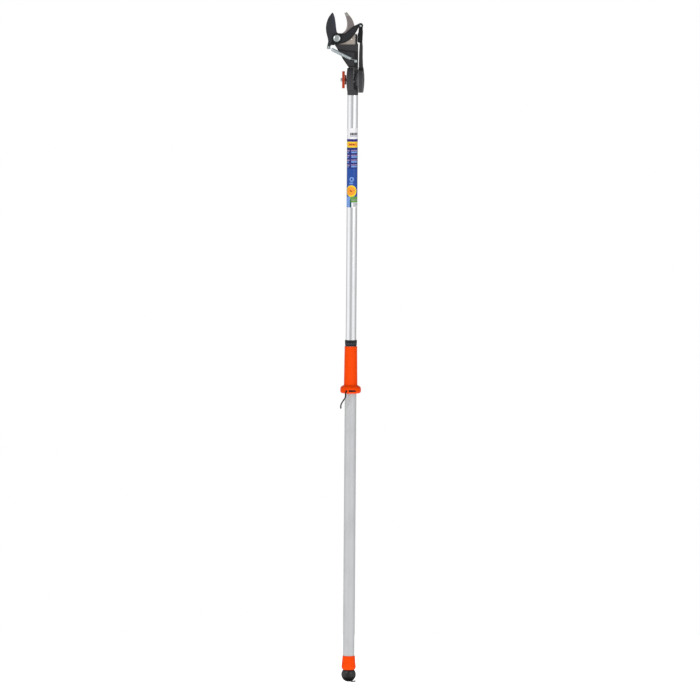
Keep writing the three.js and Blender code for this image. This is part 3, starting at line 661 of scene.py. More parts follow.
# ---------- pull handle and ball ----------
def pull_handle():
    body = "puller"
    grip = [(HANDLE_BORE, 1156.4), (21, 1156.4, 0.3), (21.6, 1154.9)]
    for height in (1149, 1144.4, 1139.8):
        grip += [(21.75, height + 0.9), (21.4, height + 0.4), (21.4, height - 0.4), (21.8, height - 0.9)]
    grip += [(22.1, 1110), (22.7, 1060), (23.15, 1027.5), (23.2, 1023.3, 0.2), (HANDLE_BORE, 1023.3)]
    piece(lathe("handle_sleeve", grip, sides=128, soft=0.3), body, ORANGE, "handle_grip")

    flange_profile = [
        (HANDLE_BORE, 1023), (23.3, 1023, 0.5), (25.4, 1021.4, 1.5), (29.4, 1019.6, 3), (33, 1017, 3),
        (35.1, 1013.2, 3), (35.5, 1006.6, 3), (35.4, 1001.4, 3), (34.2, 997.8, 2), (31.4, 995.3, 1.5),
        (28, 995, 0.6), (HANDLE_BORE, 995),
    ]
    flange = lathe("handle_base", flange_profile, sides=144, soft=0.4)
    cleat = slab(rounded([(-6, 1001), (18, 1001.8), (18, 1007.4), (-6, 1008)], 1.6, 5), -40, -26)
    hole = rod_y(-15, 1005, 2.9, -40, -24)
    rear = rod_y(0, PIN_HEIGHT, 3.3, 10, 40)
    vents = []
    for x in (-16, 16):
        corners = [(x - 3.4, 999.5), (x + 3.4, 999.5), (x + 3.4, 1009), (x - 3.4, 1009)]
        vents.append(slab(rounded(corners, 1.5, 4), 33.2, 40))
    flange = cut(flange, cleat, hole, rear, *vents)
    # Painted shade: the wall of the cord hole through the cleat gets the dark red, standing for the shade
    # inside the hole.
    piece(flange, body, ORANGE, "handle_flange",
          also=[(HUB_RED, lambda c, n: math.hypot(c.x + 15, c.z - 1005) < 3 and c.y < -25)])

    cleat_body = box("handle_cleat", -5.6, 17.6, -30, -26.3, 1001.4, 1007.6, 0.5)
    teeth = [bore(0.9, 1000, 1010, at=(x, -30.4, 0), sides=16) for x in (-3, 0.6, 4.2, 7.8, 11.4, 15)]
    piece(cut(cleat_body, *teeth), body, BLACK, "cord_cleat")
    pin = [(0, 4), (2.4, 4), (3, 4.6), (3, 33.2), (2.4, 34), (0, 34)]
    piece(lathe("handle_cross_pin", pin, "Y", (0, 0, PIN_HEIGHT), 48), body, ZINC, "handle_pin")
    shuttle = lathe("handle_shuttle", rod(16, 990, 1030), soft=1.2)
    grooves = [lathe("tool", ring(17, 15.2, z - 1, z + 1), soft=0) for z in (996, 1024)]
    shuttle = cut(shuttle, *grooves, rod_y(0, PIN_HEIGHT, 3.3, 3, 20), bore(2.8, 980, 1000))
    piece(shuttle, body, BLACK, "pull_shuttle")
    route = [(0, 0, 41 + i) for i in range(959)]
    cord = tube("ball_cord_line", route, CORD_RADIUS, 16, braid(4, 5.0), end=0.1)
    piece(cord, body, CORD, "ball_cord", sharp=60)

    radius, middle = 25.2, 23.6
    ball_profile = [(0, middle - radius)]
    for step in range(1, 60):
        turn = math.pi * step / 60
        ball_profile.append((radius * math.sin(turn), middle - radius * math.cos(turn), 0))
    seam = 30
    ball_profile = ball_profile[:seam - 1] + [
        (radius, middle - 0.45, 0), (radius - 0.25, middle - 0.2, 0),
        (radius - 0.25, middle + 0.2, 0), (radius, middle + 0.45, 0),
    ] + ball_profile[seam:] + [(0, middle + radius)]
    ball = lathe("pull_ball_body", ball_profile, sides=128, soft=0)
    groove_route = [
        (5, -3, 8), (5.4, -3, 5), (7, -3.1, 2.6), (10.6, -3.4, 0.9), (15, -3.4, 0.4), (26, -3.2, 0.6),
    ]
    groove = tube("tool", spline(groove_route, 6), 3.3, 20)
    ball = cut(ball, bore(2.8, 40, 60), bore(3.2, -10, 17, at=(5, -3, 0)), groove)
    # Painted shade on the ball: faces below the two heights get darker, less glossy rubber, standing in for
    # shade on its underside.
    painted_shade_top, painted_deep_shade_top = 19, 12.5
    piece(ball, body, BALL_RUBBER, "pull_ball",
          also=[(BALL_PAINTED_SHADE, lambda c, n: c.z < painted_shade_top), (BALL_PAINTED_DEEP_SHADE, lambda c, n: c.z < painted_deep_shade_top)])


# ---------- upper pole and its label ----------
LABEL_RADIUS = 18.5
LABEL_LOW, LABEL_HIGH = 1634, 1906
INKS = {
    "white": (240, 240, 243), "indigo": (44, 22, 120), "yellow": (250, 214, 30), "amber": (250, 160, 40),
    "navy": (30, 42, 120), "blue": (24, 74, 160), "sky": (120, 160, 226), "rose": (176, 150, 190),
    "grey": (96, 96, 104), "green": (104, 160, 70), "forest": (16, 74, 70), "maroon": (150, 40, 24),
}


def on_label(u, z, layer):
    turn = u / LABEL_RADIUS
    radius = LABEL_RADIUS + 0.05 * layer
    return (radius * math.sin(turn), -radius * math.cos(turn), z)


def label():
    inks = {name: printed(f"film_{name}", rgb) for name, rgb in INKS.items()}
    names = list(inks)
    bands = [
        (1767, 1839, "navy"), (1839, 1859, "yellow"), (1859, 1868, "indigo"), (1868, LABEL_HIGH, "white"),
    ]
    heights = [LABEL_LOW, 1671, *[low for low, _, _ in bands], LABEL_HIGH]
    inner = LABEL_RADIUS - 0.25
    profile = [(inner, LABEL_LOW), *[(LABEL_RADIUS, z) for z in heights], (inner, LABEL_HIGH)]
    wrap = lathe("label_film", profile, sides=128, soft=0)

    def outside(low, high):
        return lambda c, n: low < c.z < high and math.hypot(c.x, c.y) > LABEL_RADIUS - 0.1
    also = [(inks[ink], outside(low, high)) for low, high, ink in bands]
    piece(wrap, "upper_pole", inks["blue"], "label_sleeve", also=also)

    points, faces, colors = [], [], []

    def grid(places, columns, ink, layer):
        """A patch from rows of (u, z) places, each with the same number of columns."""
        start = len(points)
        points.extend(on_label(u, z, layer) for u, z in places)
        for line in range(len(places) // columns - 1):
            for column in range(columns - 1):
                a = start + line * columns + column
                faces.append((a, a + 1, a + columns + 1, a + columns))
                colors.append(names.index(ink))

    def bar(u0, u1, z0, z1, ink, layer=1):
        columns = max(2, int((u1 - u0) / 1.2) + 1)
        across = [u0 + (u1 - u0) * i / (columns - 1) for i in range(columns)]
        grid([(u, z) for z in (z0, z1) for u in across], columns, ink, layer)

    def disc(u, z, outer, inner, ink, layer=1):
        rings, steps = 8, 48
        turns = [2 * math.pi * i / steps for i in range(steps + 1)]
        places = []
        for r in range(rings + 1):
            radius = inner + (outer - inner) * r / rings
            places += [(u + radius * math.sin(turn), z + radius * math.cos(turn)) for turn in turns]
        grid(places, steps + 1, ink, layer)

    for u0, u1 in ((-8, -3.4), (-2.6, 2.8), (3.6, 8.2), (9.2, 14.6), (15.4, 20)):
        bar(u0, u1, 1880.5, 1890, "grey")
    bar(-9, 21, 1876.8, 1878, "indigo")
    bar(-16, 20, 1844, 1854.5, "amber")
    for u0, u1 in ((-11, -6), (-4.5, 0.5), (2, 8)):
        bar(u0, u1, 1847, 1851.5, "maroon", 2)
    for index in range(4):
        top = 1832 - 16.4 * index
        for u0, u1 in ((-3.6, 1.8), (2.8, 9.4), (10.4, 21)):
            bar(u0, u1, top - 4.6, top - 1.6, "rose")
        for u0, u1 in ((-3.2, 6.4), (7.2, 20)):
            bar(u0, u1, top - 11.4, top - 6.4, "sky")
        # Painted reflection: the rose and sky rows from u -22 to -13 stand for a highlight streak down the
        # tube's left side, drawn as rows of print.
        bar(-22, -10, top - 6.2, top - 2.4, "rose")
        bar(-22, -13, top - 12, top - 8.6, "sky")
    disc(-1.6, 1730, 7.9, 3.7, "sky")
    disc(-1.6, 1730, 1.9, 0.02, "navy")
    for u0, u1 in ((-9, -5.6), (-4.4, -0.2), (0.8, 3)):
        bar(u0, u1, 1713.6, 1719.4, "sky")
    bar(-58, 58, 1634, 1671, "sky")
    bar(-6.6, 40, 1651, 1671, "green", 2)
    bar(-7.6, -2.4, 1634, 1661, "forest", 2)
    bar(-2.2, 40, 1658.4, 1660, "rose", 3)
    disc(-2.4, 1690, 19.6, 0.02, "yellow", 3)
    disc(-4.4, 1690, 15.2, 0.02, "amber", 4)
    bar(-6.8, -3.2, 1687.6, 1693.6, "maroon", 5)
    bar(-2.4, 0.6, 1687.6, 1691.4, "maroon", 5)
    bar(5.6, 8.2, 1690.6, 1693.8, "maroon", 5)
    bar(-1.6, 34, 1634, 1650.6, "white", 3)
    for z in (1637.4, 1640.6, 1643.8, 1647):
        bar(4.4, 14, z, z + 1.5, "grey", 4)
        bar(15.2, 24, z, z + 1.5, "grey", 4)
    bar(56.4, 57.4, 1634, 1906, "grey")

    prints = new_object("label_prints", points, faces)
    prints.data.materials.clear()
    for name in names:
        prints.data.materials.append(inks[name])
    for face, color in zip(prints.data.polygons, colors):
        face.material_index = color
        face.use_smooth = True
        middle = Vector((face.center.x, face.center.y, 0))
        if face.normal.dot(middle) < 0:
            face.flip()
    prints.data.transform(INTO_FRAME)
    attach(prints, "upper_pole")


def webbing(name, path, step=1.1, width=STRAP_WIDTH, thickness=STRAP_THICKNESS):
    """A woven strap along a path, with selvedges and a low weave relief; across is its width direction."""
    path = [Vector(p) for p in path]
    total = sum((b - a).length for a, b in zip(path, path[1:]))
    count = int(total / step)
    places, walked, i = [], 0.0, 0
    for k in range(count + 1):
        target = total * k / count
        while i < len(path) - 2 and walked + (path[i + 1] - path[i]).length < target:
            walked += (path[i + 1] - path[i]).length
            i += 1
        leg = path[i + 1] - path[i]
        places.append((path[i] + leg * min((target - walked) / leg.length, 1), leg.normalized()))
    across = Vector((1, 0, 0))
    columns = 11
    points, faces = [], []
    for k, (centre, heading) in enumerate(places):
        up = heading.cross(across)
        for side in (1, -1):
            for c in range(columns):
                share = c / (columns - 1) * 2 - 1
                edge = 0.62 if abs(share) > 0.95 else 1.0
                weave = 0.09 * (1 if (c + k) % 2 else -1) * (abs(share) < 0.9)
                out = up * side * (thickness / 2 * edge + weave - 0.09)
                points.append(centre + across * share * side * width / 2 + out)
    around = 2 * columns
    for k in range(count):
        for c in range(around):
            a, b = k * around + c, k * around + (c + 1) % around
            faces.append((a, b, b + around, a + around))
    faces += [tuple(range(around)), tuple(range(count * around, (count + 1) * around))]
    return new_object(name, points, faces)


def upper_pole():
    body = "upper_pole"
    tube_shape = lathe("pole_upper_tube", ring(18, 16.5, 130, 2018.2), sides=128, soft=0.3)
    foot = [Vector((-SLOT_HALF, 120)), Vector((SLOT_HALF, 120))]
    keyway = slab(arc(0, 1012, SLOT_HALF, 0, 180) + foot, 10, 25)
    tube_shape = cut(tube_shape, keyway, rod_y(0, RIVET_HEIGHT, 2.8, 8, 25))
    piece(tube_shape, body, BRIGHT_TUBE, "upper_tube")
    label()

    disc = lathe("swivel_disc", [
        (CLAMP_BORE, 3.1), (40.2, 3.1, 0.6), (41, 2.3), (41, -17.2, 0.8), (40.2, -18.6, 0.8),
        (37, -19.4), (35.6, -19.6), (35.2, -18.9), (33.8, -19.2),
        (33.4, -19.9), (24, -21, 1), (19.4, -21.3), (19, -20.6),
        (17.9, -20.7), (17.5, -21.4), (8, -22), (CLAMP_BORE, -22),
    ], "X", HUB, 144, soft=0.4)
    neck_profile = [(0, 2018.6), (18.2, 2018.6, 0.5), (18.6, 2019.4), (18.6, 2062), (0, 2062)]
    neck = lathe("tool", neck_profile, sides=96)
    sweep_profile = [(0, 2.8), (7.2, 2.8), (32.2, 18.5), (60, 18.5), (60, 60), (0, 60)]
    sweep = lathe("tool", sweep_profile, "X", HUB, 96, soft=0)
    cheeks = [box("tool", 2.7, 30, y0, y1, 2040, 2120) for y0, y1 in ((9, 30), (-30, -9))]
    neck = cut(neck, sweep, *cheeks)
    spigot = lathe("tool", rod(16.2, 1985, 2023.6), soft=0.8)
    socket = join(disc, neck, spigot)
    socket = cut(
        socket, bore(CLAMP_BORE, -40, 40, "X", HUB, 48),
        bore(7.5, 1980, 2050, sides=48), rod_y(0, RIVET_HEIGHT, 2.8, 9, 25),
    )
    socket.name = "swivel_socket_body"
    piece(socket, body, CHARCOAL, "swivel_socket")
    rivet = [(0, 10), (2.4, 10), (2.4, 18.6), (4.4, 18.6, 0.3), (3.6, 20, 0.8), (1.6, 20.6, 0.8), (0, 20.6)]
    piece(lathe("swivel_rivet", rivet, "Y", (0, 0, RIVET_HEIGHT), 40, 0.2), body, ZINC, "socket_rivet")
    strap = webbing("inner_webbing", [(0, 0, 1031), (0, 0, 2040)], step=2.2)
    piece(strap, "inner_strap", WEB, "tube_strap", sharp=60)


# ---------- clamp knob ----------
def clamp_knob():
    body = "knob"
    half = [(29.2, -5, 1.6), (29.2, 5, 1.6), (9, 9.5, 6), (-9, 9.5, 6)]
    outline = rounded(half + [(-x, -z, soft) for x, z, soft in half], 4, 6)
    flat = [Vector((p.y, p.x)) for p in outline]
    wing = plate("knob_bar", flat, -36.6, -27.3, rim=0.9)
    wing.data.transform(Matrix.Rotation(math.radians(-90), 4, "Z"))
    wing.data.transform(Matrix.Translation((0, 0, TILT)))
    turned_low = min(v.co.x for v in wing.data.vertices)
    wing.data.transform(Matrix.Translation((-36.6 - turned_low, 0, 0)))
    clamp_hole = bore(CLAMP_BORE, -60, 0, "X", HUB, 48)
    dish = lathe("tool", [(0, -40), (8.6, -40), (8, -36), (4, -35.4), (0, -35.4)], "X", HUB, 48, soft=0.3)
    piece(cut(wing, dish, clamp_hole), body, KNOB_RED, "knob_wing")
    hub = lathe("knob_teeth", ring(16.4, CLAMP_BORE, -27, -22.4), "X", HUB, 128, soft=0.4)
    grooves = []
    for index in range(16):
        turn = math.radians(22.5 * index)
        groove_at = (0, 16.6 * math.cos(turn), TILT + 16.6 * math.sin(turn))
        grooves.append(bore(1.5, -30, -20, "X", groove_at, 20))
    piece(cut(hub, *grooves), body, HUB_RED, "knob_hub")
    nut = lathe("knob_lock_nut", rod(7, -41, -36.9), "X", HUB, 6, soft=0)
    chamfer_profile = [(0, -42), (5.6, -42), (7.4, -39.6), (7.4, -37.6), (6.4, -36), (0, -36)]
    chamfer = lathe("tool", chamfer_profile, "X", HUB, 48, soft=0)
    nut = combine(nut, "INTERSECT", [chamfer])
    piece(cut(nut, bore(CLAMP_BORE, -60, 0, "X", HUB, 48)), body, ZINC, "knob_nut")


# ---------- head ----------
PIVOT = (-55.5, 2212)
SHELL_SCREWS = [(-20, 2158), (0, 2158), (8.6, 2104)]
ANCHOR = (9.3, 2134.7)
PIVOT_BORE = 6
NECK_TOP, PANEL_TOP = 2112, 2191  # where the head shells change from smooth to framed, and to the tongue
ROOT_TOP, TIP_FOOT = 2230, 2288  # where the hook blade's painted light changes: a lighter painted root below, a lighter painted tip above


def head_shells():
    tongue = plate("tool", rounded([
        (-62, 2188), (-52.5, 2173), (-39.5, 2150), (17.8, 2150), (17.8, 2192),
        (14.8, 2195), (14.8, 2221), (12.4, 2226), (9.8, 2228),
        (7.9, 2228), (7.3, 2226), (7.3, 2191), (-58.5, 2191),
    ], 1.2), -4.9, 5.8, rim=0.5)
    body = plate("head_shell_shape", rounded([
        (-53.4, 2174.4), (-52.5, 2173), (-34.4, 2141), (-13.9, 2111.6), (3.3, 2111.6), (3.3, 2085),
        (17.8, 2085), (17.8, 2162), (4, 2168), (-20, 2169.5),
    ], 1.6), -8, 8, rim=0.9)
    panel = rounded([
        (-46.8, 2170.4), (-31.4, 2142.2), (-13.4, 2116.6), (2.6, 2116.6), (5.2, 2122), (5.2, 2163.6),
        (-20, 2166.2),
    ], 2.4)
    panels = [slab(panel, -9, -6.8), slab(panel, 7.2, 9)]
    drum = lathe("tool", [
        (CLAMP_BORE, 3.3), (6, 3.3), (31, 18.9), (43, 18.9, 0.6), (44, 19.9),
        (44, 34.5, 0.6), (39.5, 34.5), (39.5, 21), (CLAMP_BORE, 21),
    ], "X", HUB, 160, soft=0.4)
    stem_root = box("tool", 3.3, 12, -4, 4, TILT + 5.2, 2086)
    gusset = slab([(14, 2088), (20.5, 2088), (20.5, 2105), (17.5, 2105), (14, 2103)], -8, 8, rim=0.5)
    root = [(23.7, -62.3), (62.8, -62.3), (62.8, -10), (-12.3, -10), (-12.3, -20), (-4.42, -26), (-2.42, -27)]
    pocket = slab(root, -1.8, 2.8, PIVOT)
    mouth = box("tool", 20.7, 40, -7.4, 7.4, 2092, 2130)
    notch = box("tool", 20.7, 35.0, -40, 0, 2103.5, 2130)
    tools = [*panels, pocket, mouth, notch]
    for x, z in SHELL_SCREWS:
        tools += [rod_y(x, z, 2.3, -5.4, 30), rod_y(x, z, 4.2, 5.6, 30)]
    tools.append(rod_y(*ANCHOR, 2.9, -30, -1))
    shells = cut(join(body, tongue, stem_root, gusset, drum), *tools)
    panel_faces = (-6.8, -4.9, 5.8, 7.2)

    def is_panel(c, n):
        return abs(n.y) > 0.9 and c.z < PANEL_TOP and min(abs(c.y - y) for y in panel_faces) < 0.05

    halves = (
        ("head_front_shell", -60, 0.35, "head_shell_front"), ("head_rear_shell", 0.65, 60, "head_shell_rear"),
    )
    for name, y0, y1, node in halves:
        half = shells.copy()
        half.data = shells.data.copy()
        half.name = name
        scene.collection.objects.link(half)
        half = combine(half, "INTERSECT", [box("tool", -100, 100, y0, y1, 1990, 2300)])
        split(split(half, NECK_TOP), PANEL_TOP)
        piece(half, "head", FRAME_EDGE, node, also=[
            (CHARCOAL, lambda c, n: c.z < NECK_TOP),
            # Painted light: neck faces turned to -X get a lighter grey that lifts their shade.
            (CONE_PAINTED_LIGHT, lambda c, n: c.z < NECK_TOP and c.x < 20 and n.x < -0.3),
            (PANEL, is_panel),
        ])
    bpy.data.objects.remove(shells)


def head_hardware():
    profile = [
        (0, -5.1), (1.9, -5.1), (1.9, 5.9), (3.8, 5.9, 0.2), (3.8, 7.2, 0.4), (3.2, 7.8, 0.3), (0, 7.8),
    ]
    for index, (x, z) in enumerate(SHELL_SCREWS):
        screw = lathe(f"head_screw_{index + 1}", profile, "Y", (x, 0, z), 48, 0.2)
        cross = [box("tool", x - a, x + a, 6.9, 9, z - b, z + b) for a, b in ((2.1, 0.4), (0.4, 2.1))]
        piece(cut(screw, *cross), "head", ZINC, f"shell_screw_{index + 1}")

    cap = [
        (0, 34.8), (43.4, 34.8, 0.2), (43.4, 35.4, 0.4), (40, 36.6, 1),
        (36.4, 37.2), (35.8, 36.7), (34.6, 36.9),
        (34, 37.5), (30, 38, 2), (16, 39.3, 2), (9.4, 39.6),
        (8.8, 38.8), (6, 38.8), (5.4, 39.7), (0, 39.8),
    ]
    piece(lathe("swivel_cover", cap, "X", HUB, 160, 0.4), "head", CHARCOAL, "swivel_cap")

    head = lathe("tool", rod(7, 21.3, 26), "X", HUB, 6, soft=0)
    shaft_profile = [(0, -42.5), (3.2, -42.5)]
    for step in range(11):
        shaft_profile += [(3.9, -41.9 + 1.0 * step), (3.5, -41.4 + 1.0 * step)]
    shaft_profile += [(3.9, -30.8), (3.9, 22), (0, 22)]
    screw = lathe("clamp_screw_body", shaft_profile, "X", HUB, 48, soft=0)
    piece(join(screw, head), "head", ZINC, "clamp_screw")

    pin = [(0, -19.6), (3, -19.6), (3.6, -19.1), (3.6, -18), (2.5, -18), (2.5, -1.4), (0, -1.4)]
    anchor = lathe("spring_anchor", pin, "Y", (ANCHOR[0], 0, ANCHOR[1]), 48, 0.25)
    piece(anchor, "head", ZINC, "spring_anchor_pin")
    bars = (("strap_anchor", -6, TILT + 18, "strap_anchor_bar"), ("guide_pin", 0.8, TILT + 15, "guide_axle"))
    for name, y, z, node in bars:
        piece(lathe(name, rod(1.8, 22, 34), "X", (0, y, z), 32, 0.3), "head", ZINC, node)
    roller = [
        (2.1, 23.6), (5, 23.6, 0.3), (5, 24.6), (4.6, 25.2, 0.6),
        (4.6, 32.2, 0.6), (5, 32.8), (5, 33.8, 0.3), (2.1, 33.8),
    ]
    wheel = lathe("guide_wheel", roller, "X", (0, 0.8, TILT + 15), 64, 0.2)
    piece(wheel, "guide_roller", BLACK, "guide_roller")


def counter_blade():
    inner = spline([
        (3, 15.2), (11, 15.4), (19.5, 18.2), (28.7, 27), (33.4, 39), (34.4, 54), (31.1, 70), (25, 86.2),
    ], 7)
    tip = [Vector(p) for p in ((27.4, 87.8), (29.4, 86.6), (33, 90))]
    outer = spline([(33, 90), (47, 72.5), (54.9, 59), (59.6, 44), (62, 28), (62.5, 10)], 7)[1:]
    root = [Vector(p) for p in ((62.5, -62), (24, -62), (-2, -26))]
    heel = spline([(-2, -26), (-7.5, -19.5), (-14, -7.6)], 4)[1:]
    hub = arc(0, 0, 15.6, 209, 79, 20)
    outline, grind = [], []

    def add(points, grind_of):
        for i, p in enumerate(points):
            if not outline or (p - outline[-1]).length > 0.05:
                outline.append(p)
                grind.append(grind_of(i / max(len(points) - 1, 1)))

    def hollow(t):
        swell = math.sin(math.pi * min(t * 1.06, 1)) ** 0.5
        return (0.3 + 2.9 * swell, 0.3 + 0.8 * swell)

    add(inner, hollow)
    for run in (tip, outer, root, heel, hub):
        add(run, lambda t: (0.3, 0.3))
    if (outline[0] - outline[-1]).length < 0.05:
        outline.pop()
        grind.pop()
    blade = plate("hook_blade", outline, -1.5, 2.5, rim=0.3, at=PIVOT, grind=grind)
    holes = [(0, 0, PIVOT_BORE), (50.5, -4, 1.7)]
    holes += [(x - PIVOT[0], z - PIVOT[1], 2.3) for x, z in SHELL_SCREWS[:2]]
    blade = cut(blade, *[rod_y(x + PIVOT[0], z + PIVOT[1], r, -20, 20) for x, z, r in holes])
    split(split(blade, ROOT_TOP), TIP_FOOT)
    # One steel: the lighter root and the lighter tip are painted light; the darker bevel is the ground edge.
    piece(blade, "head", HOOK_STEEL, "counter_blade", also=[
        (ROOT_PAINTED_LIGHT, lambda c, n: c.z < ROOT_TOP and abs(n.y) > 0.9),
        (HOOK_TIP_PAINTED_LIGHT, lambda c, n: c.z > TIP_FOOT),
        (HOOK_GRIND, lambda c, n: -0.97 < n.y < -0.1 and 2226 < c.z < TIP_FOOT),
    ], sharp=12)


# ---------- moving blade and lever ----------
LEVER_END = (80.8, 43.3)
LEVER_RIVET = (-13.5, -17.5)
TAIL = (-28, -31.3)


def blade_steel():
    back = spline([
        (-16.1, 88), (-23.6, 78.6), (-29.6, 69), (-35.4, 52.5), (-37.6, 35.5),
        (-36, 18.5), (-31.8, 2), (-29.7, -9), (-31, -19), (-33.3, -28.1),
    ], 6)
    tail = arc(*TAIL, 6.2, 149, 390, 20)
    belly = spline([(-22.6, -28.2), (-18.5, -24), (-13, -20.2), (-6, -16.6)], 4)
    hub = arc(0, 0, 17.6, 250, 432, 36)
    edge = spline([(5.4, 16.8), (0.4, 20.8), (-2.4, 34), (-4.8, 54), (-8.4, 74), (-13.4, 86.6)], 8)
    outline, grind = [], []
    for run, width, depth in ((back, 2.6, 0.8), (tail, 0, 0), (belly, 0, 0), (hub, 0, 0), (edge, 12.2, 2.3)):
        for i, p in enumerate(run):
            if outline and (p - outline[-1]).length < 0.05:
                continue
            t = i / (len(run) - 1)
            swell = max(math.sin(math.pi * min(max((t - 0.02) / 0.98, 0), 1) ** 0.8), 0) ** 0.6
            outline.append(p)
            grind.append((0.4 + width * swell, 0.4 + depth * min(1, 1.6 * swell)))
    blade = plate("cutting_blade_body", outline, -5, -1.8, rim=0.4, at=PIVOT, grind=grind)
    holes = [(0, 0, PIVOT_BORE), (*LEVER_RIVET, 2.8), (*TAIL, 2.6)]
    blade = cut(blade, *[rod_y(x + PIVOT[0], z + PIVOT[1], r, -30, 30) for x, z, r in holes])
    piece(blade, "blade", BLADE_COAT, "cutting_blade", also=[
        (BLADE_GRIND, lambda c, n: -0.995 < n.y < -0.2 and n.x > 0 and c.z > ROOT_TOP),
        (LEVER_COAT, lambda c, n: -0.995 < n.y < -0.2 and n.x < 0),
    ], sharp=9)


def lever_outline():
    upper = [(26, 16.4), (33, 20.6), (39.5, 27), (48.6, 35), (58.9, 42), (68.4, 46.8), (77.2, 51.3)]
    lower = [(74.1, 37.6), (68.2, 25.4), (63, 17.6), (52.6, 4), (39.5, -7), (24, -15.6), (13, -18.4)]
    return (
        [Vector((4.6, 16.4)), Vector((26, 16.4))]
        + spline(upper, 5)[1:]
        + arc(*LEVER_END, 8.8, 114, -140, 28)[1:]
        + spline(lower, 5)[1:]
        + [Vector((LEVER_RIVET[0] + 2, LEVER_RIVET[1] - 6))]
        + arc(*LEVER_RIVET, 6.2, -72, -230, 16)[1:]
        + arc(0, 0, 17, 205, 75, 24)
    )


def levers():
    sides = (
        ("lever_front_plate", -9.3, -5.3, "lever_front", -1),
        ("lever_rear_plate", 6.3, 10.3, "lever_rear", 1),
    )
    for name, y0, y1, node, face in sides:
        side = plate(name, lever_outline(), y0, y1, rim=0.7, at=PIVOT)
        inner = moved_in(lever_outline(), 3.2)
        surface = y0 if face < 0 else y1
        recess = slab(inner, surface - 0.55, surface + 0.55, PIVOT)
        bosses = ((*PIVOT, 18.5), (*PIN, 7.6))
        keep = [rod_y(x, z, radius, surface - 2, surface + 2) for x, z, radius in bosses]
        recess = cut(recess, *keep)
        holes = [(0, 0, PIVOT_BORE), (*LEVER_RIVET, 2.8), (*LEVER_END, 3.8)]
        side = cut(side, recess, *[rod_y(x + PIVOT[0], z + PIVOT[1], r, -30, 30) for x, z, r in holes])
        floor = surface - face * 0.55
        piece(side, "blade", LEVER_COAT, node,
              also=[(LEVER_PANEL, lambda c, n, floor=floor: abs(c.y - floor) < 0.04 and abs(n.y) > 0.9)])

    def spindle(name, profile, place, material, node):
        at = (PIVOT[0] + place[0], 0, PIVOT[1] + place[1])
        piece(lathe(name, profile, "Y", at, 56, 0.25), "blade", material, node)
    spindle("lever_rivet_body", [
        (0, -10.7), (3, -10.7, 0.6), (4, -9.6), (2.4, -9.6),
        (2.4, 10.6), (4, 10.6), (3, 11.7, 0.6), (0, 11.7),
    ], LEVER_RIVET, LEVER_COAT, "lever_rivet")
    spindle("lever_end_pin", [
        (0, -10.8), (1.4, -10.8), (1.9, -11.2), (3.1, -11.2, 0.4), (3.7, -9.6),
        (3.4, -9.6), (3.4, 10.6), (4.6, 10.6), (3.6, 12, 0.6), (0, 12),
    ], LEVER_END, ZINC, "lever_pin")
    spindle("tail_spring_pin", [
        (0, -20.4), (2.2, -20.4), (2.8, -19.9), (2.8, -18.8), (2.2, -18.8), (2.2, -1), (0, -1),
    ], TAIL, ZINC, "tail_pin")


def pivot_hardware():
    at = (PIVOT[0], 0, PIVOT[1])
    bolt = lathe("pivot_bolt_body", [
        (0, -13.2), (3.4, -13.2), (4.2, -14.2), (8, -14, 1.5), (10.9, -13.1, 1.5),
        (12.1, -11.6, 0.5), (12.1, -9.6), (5.7, -9.6), (5.7, 17.4), (0, 17.4),
    ], "Y", at, 96, 0.3)
    socket = lathe("tool", rod(2.6, -20, -12.6), "Y", at, 6, soft=0)
    piece(cut(bolt, socket), "head", BOLT_ZINC, "pivot_bolt")
    piece(lathe("pivot_washer", ring(11.5, 6, 2.8, 6), "Y", at, 72, 0.3), "head", ZINC, "pivot_spacer")
    nut = lathe("pivot_lock_nut", rod(10, 10.6, 16), "Y", at, 6, soft=0)
    chamfer_profile = [(0, 10), (9.2, 10), (10.4, 11.4), (10.4, 14.6), (8.4, 16.6), (0, 16.6)]
    chamfer = lathe("tool", chamfer_profile, "Y", at, 48, soft=0)
    nut = combine(nut, "INTERSECT", [chamfer])
    piece(cut(nut, rod_y(*PIVOT, PIVOT_BORE, 5, 20)), "head", ZINC, "pivot_nut")


# ---------- strap block, strap and spring ----------
PIN = (PIVOT[0] + LEVER_END[0], PIVOT[1] + LEVER_END[1])
ROLLER_HEIGHT = 2206
ROLLER_AT = (0, 0, ROLLER_HEIGHT)
STRAP_MIDDLE = 28.05


